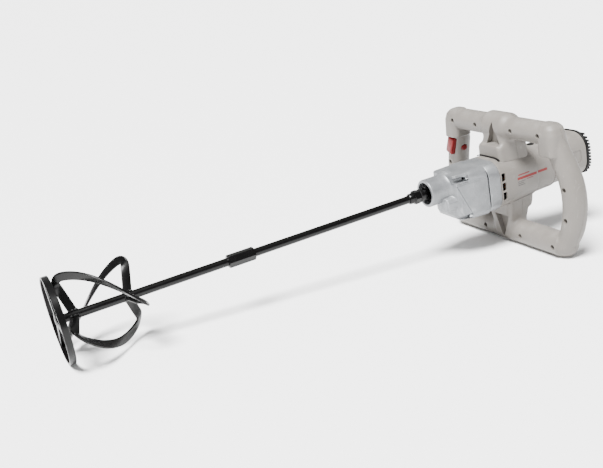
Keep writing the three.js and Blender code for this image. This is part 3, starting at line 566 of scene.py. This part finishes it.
def makeRearCap():
    z = motorSize["axisZ"]
    capZ = motorSize["capZ"]
    piece = tube("rearCap", [
        (-222.4, 0, z, 36.9, 36.9, 32.5), (-223.2, 0, z, 37.4, 37.4, 33), (-232, 0, -14, 36.6, 36.6, 31),
        (-262, 0, -13.4, 36.3, 36.3, 29), (-289.2, 0, capZ, 36, 36, 28),
        (-290, 0, capZ, 35.4, 35.4, 27.5)], motorSize["capWall"])
    # a moulded recess on each side of the cap
    cutter = bmesh.new()
    for side in (1, -1):
        addLoft(cutter, "y", [(side * 35.2, -262, -12, 17, 10.5, 4), (side * 40, -262, -12, 18, 11.5, 5)],
                steps=5)
    combine(piece, asObject("recess", cutter), solver="EXACT")
    finish(piece, "greyPlastic", stands=["rear_cap"], sharp=30)


grilleSize = {"front": -290.3, "rear": -300.0, "pitch": 5.2, "z": -13.0}


def makeGrille():
    size = grilleSize
    z = size["z"]
    bm = bmesh.new()
    addLoft(bm, "x", [(size["front"], 0, z, 36.4, 36.4, 27.5), (size["front"] - 0.8, 0, z, 37, 37, 28),
                      (-294, 0, z, 37, 37, 28), (-294.6, 0, z, 36.5, 36.5, 27.5),
                      (-294.6, 0, z, 33.5, 33.5, 25), (-290.5, 0, z, 33.2, 33.2, 25)], steps=10, capped=True)
    piece = asObject("ventGrille", bm)
    # a comb of raised bars across the rear
    comb = bmesh.new()
    for k in range(-6, 7):
        height = z + k * size["pitch"]
        # the outer bars are shorter, to follow the round corners
        past = max(abs(k * size["pitch"]) - 9.0, 0)
        reach = 36.8 if abs(k) < 3 else 36.8 - 28 + math.sqrt(max(28 ** 2 - past ** 2, 4))
        addLoft(comb, "x", [(-291.5, 0, height, reach, 1.7, 0.5), (-298.6, 0, height, reach, 1.6, 0.5),
                            (size["rear"], 0, height, reach - 1.6, 1.0, 0.5)], steps=2)
    combine(piece, asObject("comb", comb), operation="UNION", solver="EXACT")
    finish(piece, "blackPlastic", stands=["vent_grille"], sharp=30)


makeMotorHousing()
makeRearCap()
makeGrille()
print("motor housing finished")

# Two-handled frame.

handle = {
    "barX": -154.0, "gripX": -164.2, "depth": 18.2, "gripR": 17.0, "topZ": 67.7, "topR": 17.4, "lowZ": -104.0,
    "lowR": 19.0, "blockY": 115.5, "blockFoot": 37.0, "lowCornerY": 124.0, "voxel": 1.15, "neckY": 23.0,
    "neckX": 20.0, "saddleX": 30.0, "seamX": -158.0, "holeR": 4.0, "holeDepth": 9.0,
}
holes = ([(-136.6, y, 67.7) for y in (-104.7, -43.4, 43.4, 104.7)]
         + [(-135.0, y, -104.0) for y in (-117.5, -43.4, 43.4, 117.5)]
         + [(-146.0, side * 140.0, -12.0) for side in (-1, 1)]
         + [(-146.0, side * 138.6, -60.0) for side in (-1, 1)])


def gripSections(side):
    h = handle
    gx, d, r = h["gripX"], h["depth"], h["gripR"]
    rows = [
        (h["topZ"] + 8, h["barX"] - 3, h["blockY"] - 2, 12.5, 12.5),
        (h["topZ"], h["barX"] - 3, h["blockY"], 17.4, 17.4), (56, gx + 7, 118.0, d - 0.8, r + 0.6),
        (45, gx + 6, 121.3, d - 1, r + 0.8), (28, gx + 2, 126.4, d, r + 0.8),
        (14, gx + 1, 131.5, d, r + 0.6), (0, gx, 136.6, d, r + 0.4), (-12, gx, 139.6, d, r + 0.2),
        (-22, gx, 141.1, d, r), (-36, gx, 141.5, d, r), (-49, gx, 140.5, d, r),
        (-60, gx + 0.4, 138.9, d, r + 0.1), (-70, gx + 1, 136.8, d, r + 0.3),
        (-80, gx + 2, 134.2, d, r + 0.5), (-90, gx + 3.4, 130.6, d, r + 0.6),
        (h["lowZ"], gx + 7, h["lowCornerY"], d, r + 0.6),
        (h["lowZ"] - 9, gx + 7.5, h["lowCornerY"] - 3, 14, 13),
    ]
    return [(z, x, side * y, hx, hy, min(hx, hy) - 0.4) for z, x, y, hx, hy in rows]


def seamAt(y, z):
    # where the two shells meet: flat along the bars, slanting back over the grips
    flat = handle["seamX"]
    points = [(-90, flat), (-62, -164.0), (-20, -169.0), (22, -175.0), (46, -172.0), (62, flat)]
    if z <= points[0][0] or z >= points[-1][0]:
        slant = flat
    else:
        slant = next(a[1] + (b[1] - a[1]) * (z - a[0]) / (b[0] - a[0])
                     for a, b in zip(points, points[1:]) if a[0] <= z <= b[0])
    share = min(max((abs(y) - 99.0) / 6.0, 0.0), 1.0)
    return flat + (slant - flat) * share * share * (3 - 2 * share)


def seamCutter(shift):
    bm = bmesh.new()
    made = bmesh.ops.create_grid(bm, x_segments=150, y_segments=110, size=1.0)["verts"]
    for v in made:
        y, z = v.co.x * 180.0, v.co.y * 150.0
        v.co = (seamAt(y, z) + shift, y, z)
    grown = bmesh.ops.extrude_face_region(bm, geom=list(bm.faces))["geom"]
    for v in (g for g in grown if isinstance(g, bmesh.types.BMVert)):
        v.co.x = -320.0
    return asObject("seamCutter", bm)


def addNeck(bm):
    h = handle
    x = h["barX"] + 1
    ny, nx, sx = h["neckY"], h["neckX"], h["saddleX"]
    addLoft(bm, "z", [(h["topZ"] + 8, x, 0, nx - 5, ny - 5, 8), (h["topZ"], x, 0, nx - 1.0, ny - 2, 7),
                      (56, x, 0, nx - 0.4, ny - 0.4, 6), (48, x, 0, nx, ny + 2.4, 6),
                      (43.6, x, 0, nx + 0.2, ny + 4, 6),
                      (42.8, x, 0, sx - 2.6, ny + 4.2, 7), (41.4, x, 0, sx - 1.6, ny + 4.6, 7),
                      (28, x, 0, sx - 0.8, ny + 5.4, 9), (4, x, 0, sx, ny + 8.5, 12)], steps=6)
    # the lower neck is set forward so that its front face runs straight down to the bar
    lower = [(-36, sx - 4, ny + 8), (-60, sx - 5, ny + 5.5), (-67.4, sx - 6, ny + 4.6), (-69, nx + 1, ny + 4),
             (-84, nx + 0.4, ny + 0.6), (h["lowZ"] + 4, nx - 0.4, ny - 4), (h["lowZ"] - 6, nx - 4, ny - 7)]
    addLoft(bm, "z", [(z, x - (hx - nx), 0, hx, hy, 8) for z, hx, hy in lower], steps=6)
    for z, r, reach in ((h["topZ"], h["topR"] + 4.8, ny + 1.0), (h["lowZ"], h["lowR"] + 0.9, ny - 1.0)):
        addSpunAcross(bm, h["barX"], z, r, reach)


def addSpunAcross(bm, x, z, radius, reach):
    # a collar with rounded ends round a bar that lies across the tool
    points = [(-reach - 5, radius - 4.5), (-reach - 2, radius - 1.6), (-reach + 2, radius),
              (reach - 2, radius), (reach + 2, radius - 1.6), (reach + 5, radius - 4.5)]
    verts = [bm.verts.new((x, y, z + r)) for y, r in points]
    verts = [bm.verts.new((x, points[0][0], z))] + verts + [bm.verts.new((x, points[-1][0], z))]
    edges = [bm.edges.new(pair) for pair in zip(verts, verts[1:])]
    bmesh.ops.spin(bm, geom=verts + edges, cent=(x, 0, z), axis=(0, 1, 0), dvec=(0, 0, 0), angle=math.tau,
                   steps=64, use_merge=True)


def addPocket(bm, wide, apex, half=13.0, front=-133.0, depth=9.0, shift=0.0):
    # a triangular pocket whose floor slopes forward to its point
    tri = [bm.verts.new((front + 14, shift - half, wide)), bm.verts.new((front + 14, shift + half, wide)),
           bm.verts.new((front + 14, shift, apex))]
    face = bm.faces.new(tri)
    grown = bmesh.ops.extrude_face_region(bm, geom=[face])["geom"]
    back = [g for g in grown if isinstance(g, bmesh.types.BMVert)]
    for v in back:
        v.co.x = front - depth if abs(v.co.z - wide) < 1 else front - depth * 0.7
        v.co.y *= 0.9


def leanTurn():
    # the trigger, its slot and the switch lean with the grip
    return Matrix.Translation((0, -128, 21)) @ Matrix.Rotation(-math.atan2(12, 28), 4, "X")


def makeHandle():
    h = handle
    bm = bmesh.new()
    addBar(bm, "y", -h["blockY"], h["blockY"], h["barX"], h["topZ"], h["topR"], sides=72)
    addBar(bm, "y", -h["lowCornerY"], h["lowCornerY"], h["barX"], h["lowZ"], h["lowR"], sides=72)
    for side in (1, -1):
        addLoft(bm, "z", gripSections(side), steps=10)
        addLoft(bm, "z", [
            (h["topZ"] + 17.6, h["barX"] - 1, side * (h["blockY"] - 6), 6, 8, 5),
            (h["topZ"] + 15.4, h["barX"] - 1, side * (h["blockY"] - 4), 12, 12.5, 9),
            (h["topZ"] + 10, h["barX"] - 1, side * (h["blockY"] - 1.5), 16.3, 15.8, 12),
            (h["topZ"], h["barX"], side * h["blockY"], 18, 18, 14),
            (50, h["barX"] + 0.2, side * (h["blockY"] + 0.3), 17.8, 17.8, 11),
            (h["blockFoot"], h["barX"] + 0.4, side * (h["blockY"] + 1), 17.4, 17.4, 9)], steps=8)
        corner = bmesh.ops.create_uvsphere(bm, u_segments=40, v_segments=24, radius=1.0)["verts"]
        bmesh.ops.scale(bm, vec=(h["depth"] + 1.2, h["lowR"], h["lowR"]), verts=corner)
        bmesh.ops.translate(bm, vec=(h["barX"] - 3.2, side * (h["lowCornerY"] - 1), h["lowZ"]), verts=corner)
    addNeck(bm)
    body = asObject("handleBody", bm)
    remesh(body, h["voxel"])
    print("handle remeshed", len(body.data.polygons))

    def joint(p):
        # the hollows where the necks flow into the bars and the bars into the grips
        a = abs(p.y)
        top = abs(p.z - h["topZ"]) < 30 and 21 < a < 38
        low = abs(p.z - h["lowZ"]) < 26 and 13 < a < 34 and p.z > -100
        ends = 84 < a < 118 and p.z < -70
        return top or low or ends

    smoothPiece(body, 3)
    smoothPiece(body, 40, near=joint)
    smoothPiece(body, 2)

    cutter = bmesh.new()
    addPocket(cutter, 43.2, 79.0, half=17.0, shift=5.0)
    addPocket(cutter, -74.0, -114.0, half=17.5, depth=10.0, shift=6.0)
    combine(body, asObject("pockets", cutter), solver="EXACT")
    cutter = bmesh.new()
    for x, y, z in holes:
        addBar(cutter, "x", x - h["holeDepth"], x + 20, y, z, h["holeR"], sides=28)
    combine(body, asObject("screwHoles", cutter))
    cutter = bmesh.new()
    addLoft(cutter, "x", [(-177, 0, 0, 8.8, 16.8, 3), (-125, 0, 0, 8.8, 16.8, 3)], steps=4)
    bmesh.ops.transform(cutter, matrix=leanTurn(), verts=cutter.verts)
    combine(body, asObject("triggerSlot", cutter), solver="EXACT")
    cutter = bmesh.new()
    addBar(cutter, "y", -124.0, -96.0, h["gripX"] + 3.5, 14.0, 5.5, sides=40)
    combine(body, asObject("buttonHole", cutter), solver="EXACT")
    cutter = bmesh.new()
    addLoft(cutter, "x", [(-110, 0, -16, 40.4, 40.4, 25.4), (-130, 0, -16, 40.4, 40.4, 28.4),
                          (-186, 0, -16, 39.8, 39.8, 32), (-250, 0, -16, 39.4, 39.4, 33)], steps=12)
    addBar(cutter, "x", -200, -172, -124.0, -97.0, 6.4, sides=32)
    combine(body, asObject("motorRoom", cutter), solver="EXACT")
    rear = bpy.data.objects.new("handleRearShell", body.data.copy())
    bpy.context.scene.collection.objects.link(rear)
    combine(rear, seamCutter(-0.35), operation="INTERSECT", solver="MANIFOLD")
    combine(body, seamCutter(0.0), operation="DIFFERENCE", solver="MANIFOLD")
    body.name = "handleFrontShell"
    finish(body, "greyPlastic", stands=["handle_front_shell"], sharp=38)
    finish(rear, "greyPlastic", stands=["handle_rear_shell"], sharp=38)


makeHandle()
print("handle finished")

# Trigger, lock button, gland and the saddle gasket.

controls = {"buttonY": -116.5, "buttonZ": 14.0, "buttonR": 5.0}


def makeControls():
    bm = bmesh.new()
    addLoft(bm, "x", [(-153, 0, 0, 6.0, 13.5, 2), (-151.6, 0, 0, 8.0, 16.0, 2.4),
                      (-143.2, 0, 0, 8.0, 16.0, 2.4), (-141.2, 0, -0.2, 7.4, 15.2, 3),
                      (-140.0, 0, -0.5, 6.0, 13.2, 3.5)], steps=6)
    for v in bm.verts:
        if v.co.x > -145:
            # the face is hollowed for a finger
            v.co.x -= 1.6 * max(0.0, 1 - (v.co.z / 12.0) ** 2)
    bmesh.ops.transform(bm, matrix=leanTurn(), verts=bm.verts)
    trigger = asObject("triggerPaddle", bm)
    finish(trigger, "redPlastic", body="trigger", stands=["trigger"], bevel=0.5,
           sharp=32)
    bm = bmesh.new()
    y = controls["buttonY"]
    addBar(bm, "y", y - 0.5, y + 4.5, handle["gripX"] + 3.5, controls["buttonZ"], controls["buttonR"],
           sides=40)
    button = asObject("lockButton", bm)
    finish(button, "redPlastic", body="lock_button", stands=["lock_button"],
           bevel=1.0, sharp=32, segments=4)
    bm = bmesh.new()
    addSpun(bm, [(-172, 3.6), (-172, 6.0), (-179, 6.0), (-180, 5.2), (-186.4, 5.0), (-187, 4.6), (-187, 3.6)],
            steps=40, y=-124.0, z=-97.0, closed=True)
    gland = asObject("cordGland", bm)
    finish(gland, "blackPlastic", stands=["cord_gland"], sharp=32)


makeControls()


def makeSaddleGasket():
    bm = bmesh.new()
    addLoft(bm, "x", [(-121.8, 0, -16, 40.6, 40.6, 25.6), (-124.4, 0, -16, 40.6, 40.6, 26.6)], steps=12,
            capped=False)
    piece = asObject("saddleGasket", bm)
    addWall(piece, 1.6, offset=1.0)
    cutter = bmesh.new()
    addBlock(cutter, -130, -116, -27, 27, 17.5, 40)
    combine(piece, asObject("trim", cutter), operation="INTERSECT", solver="EXACT")
    finish(piece, "blackPlastic", bevel=0.3, sharp=32)


makeSaddleGasket()

sideMarks = {
    "stripe": ("markRed", -145.0, -206.0, -14.0, -10.0), "thinRed": ("markRed", -147.0, -169.0, -7.2, -5.4),
    "shortRed": ("markRed", -163.0, -176.0, -16.6, -15.6),
    "thinGrey1": ("markGrey", -145.0, -160.0, -17.8, -16.7),
    "thinGrey2": ("markGrey", -145.0, -157.0, -20.6, -19.5),
    "thinGrey3": ("markGrey", -145.0, -159.0, -23.4, -22.3),
}


def makeSideMarks():
    # printed lines on both flat sides of the motor housing, with no lettering
    for side, word in ((1, "Plain"), (-1, "Switch")):
        for label, (material, front, rear, low, high) in sideMarks.items():
            bm = bmesh.new()
            made = bmesh.ops.create_grid(bm, x_segments=24, y_segments=1, size=0.5)["verts"]
            for v in made:
                x = front + (v.co.x + 0.5) * (rear - front)
                flat = 40.0 - 0.7 * (-130 - x) / 55.0
                out = flat if x > -185 else max(38.1 - 0.6 * (-187.2 - x) / 34.0, flat - (-185 - x) * 0.7)
                v.co = (x, side * (out + 0.04), low + (v.co.y + 0.5) * (high - low))
            piece = asObject(label + word, bm)
            addWall(piece, 0.12, offset=0.0)
            finish(piece, material)


makeSideMarks()

# Spindle, nut, rods and coupling.

rodSize = {"radius": 6.0, "nutRear": 12.3, "nutAcross": 19.0, "couplingStart": 290.0, "couplingEnd": 331.0,
           "couplingAcross": 17.0, "end": 574.0}


def hexBar(bm, across, start, end):
    made = bmesh.ops.create_circle(bm, cap_ends=True, radius=across / math.sqrt(3), segments=6)["verts"]
    bmesh.ops.transform(bm, matrix=placeMatrix("x", start, 0, 0) @ Matrix.Rotation(math.radians(30), 4, "Z"),
                        verts=made)
    face = made[0].link_faces[0]
    grown = bmesh.ops.extrude_face_region(bm, geom=[face])["geom"]
    far = [g for g in grown if isinstance(g, bmesh.types.BMVert)]
    bmesh.ops.translate(bm, vec=(end - start, 0, 0), verts=far)


def chamferedHex(name, across, start, end, chamfer):
    bm = bmesh.new()
    hexBar(bm, across, start, end)
    piece = asObject(name, bm)
    full = across / math.sqrt(3) + 0.1
    cutter = bmesh.new()
    addSpun(cutter, [(start, 0), (start, full - chamfer * 1.6), (start + chamfer, full),
                     (end - chamfer, full), (end, full - chamfer * 1.6), (end, 0)], steps=72)
    return combine(piece, asObject("chamfer", cutter), operation="INTERSECT")


def makeRods():
    r = rodSize["radius"]
    bm = bmesh.new()
    addSpun(bm, [(-60, 0), (-60, 7.4), (-14.0, 7.4), (-13.5, 10.4), (10.8, 10.4), (12, 9.4), (12, 6.4),
                 (-8, 6.4), (-8, 0)], steps=64)
    spindle = asObject("outputSpindle", bm)
    cutter = bmesh.new()
    for side in (1, -1):
        addBlock(cutter, -1, 14, -20, 20, min(side * 9.1, side * 20), max(side * 9.1, side * 20))
    combine(spindle, asObject("flats", cutter), solver="EXACT")
    finish(spindle, "blackPaint", body="spindle", stands=["output_spindle"],
           bevel=0.3, sharp=32)
    nutRear = rodSize["nutRear"]
    nut = chamferedHex("adapterNut", rodSize["nutAcross"], nutRear, nutRear + 10, 1.4)
    cutter = bmesh.new()
    addSpun(cutter, [(20, 0), (20, 8.4), (28.6, 8.2), (30.2, 7.2), (30.2, 0)], steps=56)
    combine(nut, asObject("nutCollar", cutter), operation="UNION", solver="EXACT")
    finish(nut, "blackPaint", body="spindle", stands=["adapter_nut"],
           bevel=0.35, sharp=32)
    coupling = chamferedHex("hexCoupling", rodSize["couplingAcross"], rodSize["couplingStart"],
                            rodSize["couplingEnd"], 1.3)
    finish(coupling, "blackPaint", body="spindle", stands=["hex_coupling"],
           bevel=0.35, sharp=32)
    for name, start, end, node in (("upperRod", 4.5, 310.0, "upper_rod"),
                                   ("lowerRod", 311.0, rodSize["end"], "lower_rod")):
        bm = bmesh.new()
        addSpun(bm, [(start, 0), (start, r - 0.6), (start + 0.6, r), (end - 0.8, r),
                     (end, r - 0.8), (end, 0)], steps=48)
        finish(asObject(name, bm), "blackPaint", body="spindle",
               stands=[node], sharp=32)


makeRods()

# Blades, hoop and spider.

head = {"count": 3, "top": 475.0, "foot": 549.0, "rimR": 53.0, "width": 12.0, "thick": 3.0,
        "cornerTop": 462.0, "cornerFoot": 561.0, "bend": 13.0, "twist": 114.0, "rodR": 5.4,
        "hoopFront": 575.0, "hoopR": 60.0, "hoopBand": 9.0, "hoopThick": 3.0}


def bladePath(first):
    h = head
    span = h["cornerFoot"] - h["cornerTop"]
    share = h["bend"] / (h["rimR"] - h["rodR"])
    end = first + h["twist"]

    def turnAt(x):
        return first + h["twist"] * (x - h["cornerTop"]) / span

    topEnd = (h["cornerTop"] + (h["top"] - h["cornerTop"]) * share, h["rimR"] - h["bend"], first)
    footEnd = (h["cornerFoot"] + (h["foot"] - h["cornerFoot"]) * share, h["rimR"] - h["bend"], end)
    rimTop = (h["cornerTop"] + h["bend"], h["rimR"], turnAt(h["cornerTop"] + h["bend"]))
    rimFoot = (h["cornerFoot"] - h["bend"], h["rimR"], turnAt(h["cornerFoot"] - h["bend"]))
    rows = []

    def line(a, b, count):
        rows.extend(tuple(a[i] + (b[i] - a[i]) * k / count for i in range(3)) for k in range(count))

    def curve(a, c, b, count):
        rows.extend(tuple((1 - k / count) ** 2 * a[i] + 2 * (k / count) * (1 - k / count) * c[i]
                          + (k / count) ** 2 * b[i] for i in range(3)) for k in range(count))

    line((h["top"], h["rodR"], first), topEnd, 6)
    curve(topEnd, (h["cornerTop"], h["rimR"], first), rimTop, 12)
    line(rimTop, rimFoot, 40)
    curve(rimFoot, (h["cornerFoot"], h["rimR"], end), footEnd, 12)
    line(footEnd, (h["foot"], h["rodR"], end), 6)
    rows.append((h["foot"], h["rodR"], end))
    return rows


def bladeFrames(first):
    h = head
    rows = bladePath(first)
    lean = math.atan2(math.radians(h["twist"]) * h["rimR"], h["cornerFoot"] - h["cornerTop"])
    points = [Vector((x, r * math.cos(math.radians(t)), r * math.sin(math.radians(t)))) for x, r, t in rows]
    frames = []
    for k, (x, r, t) in enumerate(rows):
        a = math.radians(t)
        sideways = Vector((0, -math.sin(a), math.cos(a)))
        rim = Vector((math.sin(lean), math.sin(a) * math.cos(lean), -math.cos(a) * math.cos(lean)))
        s = min(max((r - (h["rimR"] - 2 * h["bend"])) / (2 * h["bend"]), 0.0), 1.0)
        s = s * s * (3 - 2 * s)
        face = (-sideways).lerp(rim, s)
        along = points[min(k + 1, len(points) - 1)] - points[max(k - 1, 0)]
        if k in (0, len(rows) - 1):
            along.x = 0.0
        along.normalize()
        thick = (face - along * face.dot(along)).normalized()
        wide = thick.cross(along)
        place = Matrix.Translation(points[k]) @ Matrix((wide, thick, along)).transposed().to_4x4()
        frames.append(place)
    return frames


def makeBlade(number):
    frames = bladeFrames((number - 1) * 360.0 / head["count"])
    bm = bmesh.new()
    corners = bmesh.ops.create_grid(bm, x_segments=1, y_segments=1, size=0.5)["verts"]
    bmesh.ops.scale(bm, vec=(head["width"], head["thick"], 1.0), verts=corners)
    bmesh.ops.bevel(bm, geom=corners, offset=0.8, offset_type="OFFSET", segments=3, profile=0.5,
                    affect="VERTICES", material=-1)
    bmesh.ops.transform(bm, matrix=frames[0], verts=bm.verts)
    bm.faces.ensure_lookup_table()
    face = bm.faces[-1]
    for before, after in zip(frames, frames[1:]):
        grown = bmesh.ops.extrude_face_region(bm, geom=[face])["geom"]
        face = next(g for g in grown if isinstance(g, bmesh.types.BMFace))
        bmesh.ops.transform(bm, matrix=after @ before.inverted(), verts=face.verts)
    inside = [f for f in bm.faces if len(f.verts) > 4 and f is not face and f.calc_center_median().length > 0
              and (f.calc_center_median() - frames[0].translation).length > 1
              and (f.calc_center_median() - frames[-1].translation).length > 1]
    bmesh.ops.delete(bm, geom=inside, context="FACES_ONLY")
    piece = asObject("blade" + str(number), bm)
    finish(piece, "blackPaint", body="spindle",
           stands=["blade_" + str(number)], sharp=50)
    # weld beads on both sides of each root
    bm = bmesh.new()
    for place, shift in ((frames[0], 1), (frames[-1], -1)):
        for side in (1, -1):
            for k in range(7):
                spot = place @ Vector(((k - 3) * 1.75, side * 2.0, shift * 0.9))
                beadR = 1.55 + 0.25 * math.sin(k * 2.3 + side)
                ball = bmesh.ops.create_icosphere(bm, subdivisions=2, radius=beadR)
                bmesh.ops.translate(bm, vec=spot, verts=ball["verts"])
    beads = asObject("bladeWeld" + str(number), bm)
    remesh(beads, 0.35)
    smoothPiece(beads, 2)
    finish(beads, "blackPaint", body="spindle", sharp=60)


def makeHoop():
    h = head
    rear, front = h["hoopFront"] - h["hoopBand"], h["hoopFront"]
    rOut, rIn = h["hoopR"], h["hoopR"] - h["hoopThick"]
    e = 0.7
    bm = bmesh.new()
    addSpun(bm, [(rear + e, rIn), (front - e, rIn), (front, rIn + e), (front, rOut - e), (front - e, rOut),
                 (rear + e, rOut), (rear, rOut - e), (rear, rIn + e)], steps=120, closed=True)
    finish(asObject("hoopRing", bm), "blackPaint", body="spindle",
           stands=["hoop"], sharp=32)
    bm = bmesh.new()
    addSpun(bm, [(rear + 0.5, 0), (rear + 0.5, 9.6), (rear + 1.4, 10.5), (front - 2.6, 10.5),
                 (front - 1.6, 9.5), (front - 1.6, 0)], steps=56)
    hub = asObject("hoopSpider", bm)
    spokes = bmesh.new()
    for k in range(h["count"]):
        turn = Matrix.Rotation(math.radians(h["twist"] + k * 360.0 / h["count"]), 4, "X")
        start = bmesh.ops.create_cube(spokes, size=1.0)["verts"]
        bmesh.ops.transform(spokes, matrix=turn @ Matrix.Translation((front - 3.5, (rIn + 8) / 2, 0))
                            @ Matrix.Diagonal((2.6, rIn - 7.4, 9.0, 1.0)), verts=start)
    combine(hub, asObject("spokes", spokes), operation="UNION", solver="EXACT")
    finish(hub, "blackPaint", body="spindle", stands=["hoop_spider"],
           bevel=0.6, sharp=40)


for number in range(1, head["count"] + 1):
    makeBlade(number)
makeHoop()
print("mixing head finished")

# Finishes for the CAD nodes that stay.

nodeFinish = {
    "brightSteel": ["armature_shaft", "layshaft", "first_gear", "output_gear", "spindle_front_bearing",
                    "armature_front_bearing", "armature_rear_bearing"],
    "darkSteel": ["stator_core", "armature_core", "spindle_rear_bush", "layshaft_front_bush",
                  "layshaft_rear_bush"],
    # painted shade: the handle screws get black paint so that the screw holes read dark, as if in shadow
    "blackPaint": ["handle_screw_" + str(k) for k in range(1, 13)],
    "woundCopper": ["field_coil_1", "field_coil_2", "commutator"],
    "carbonBlock": ["brush_1", "brush_2"],
    "blackPlastic": ["cooling_fan", "brush_holder_1", "brush_holder_2", "oil_seal", "switch_body"],
}
for finishName, nodes in nodeFinish.items():
    for node in nodes:
        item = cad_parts[node]
        for slotItem in item.material_slots:
            slotItem.link = "OBJECT"
            slotItem.material = materials[finishName]
print("finishes given to the inner parts")

# Floor and light.

floorMesh = bmesh.new()
bmesh.ops.create_grid(floorMesh, x_segments=2, y_segments=2, size=400.0)
floor = asObject("floor", floorMesh)
floorMaterial = bpy.data.materials.new("paleFloor")
floorMaterial.use_nodes = True
floorShader = floorMaterial.node_tree.nodes["Principled BSDF"]
floorShader.inputs["Base Color"].default_value = (0.92, 0.92, 0.92, 1)
floorShader.inputs["Roughness"].default_value = 0.9
floor.data.materials.append(floorMaterial)

world = bpy.data.worlds.new("studio")
bpy.context.scene.world = world
world.use_nodes = True
backdrop = world.node_tree.nodes["Background"]
backdrop.inputs["Color"].default_value = (1, 1, 1, 1)
backdrop.inputs["Strength"].default_value = 0.5

lights = {
    "keyLight": {"kind": "SUN", "place": (0.9, 0.55, 2.0), "aim": (0.0, 0.0, 0.0), "size": 0.4,
                 "power": 16.0},
    "frontLight": {"kind": "AREA", "place": (1.6, 1.6, 0.9), "aim": (-0.1, 0, 0.1), "size": 0.8,
                   "power": 12.0},
}
for name, light in lights.items():
    data = bpy.data.lights.new(name, light["kind"])
    data.energy = light["power"]
    if light["kind"] == "SUN":
        data.angle = light["size"]
    else:
        data.size = light["size"]
    lamp = bpy.data.objects.new(name, data)
    lamp.location = light["place"]
    toward = Vector(light["aim"]) - Vector(light["place"])
    lamp.rotation_euler = toward.to_track_quat("-Z", "Y").to_euler()
    bpy.context.scene.collection.objects.link(lamp)
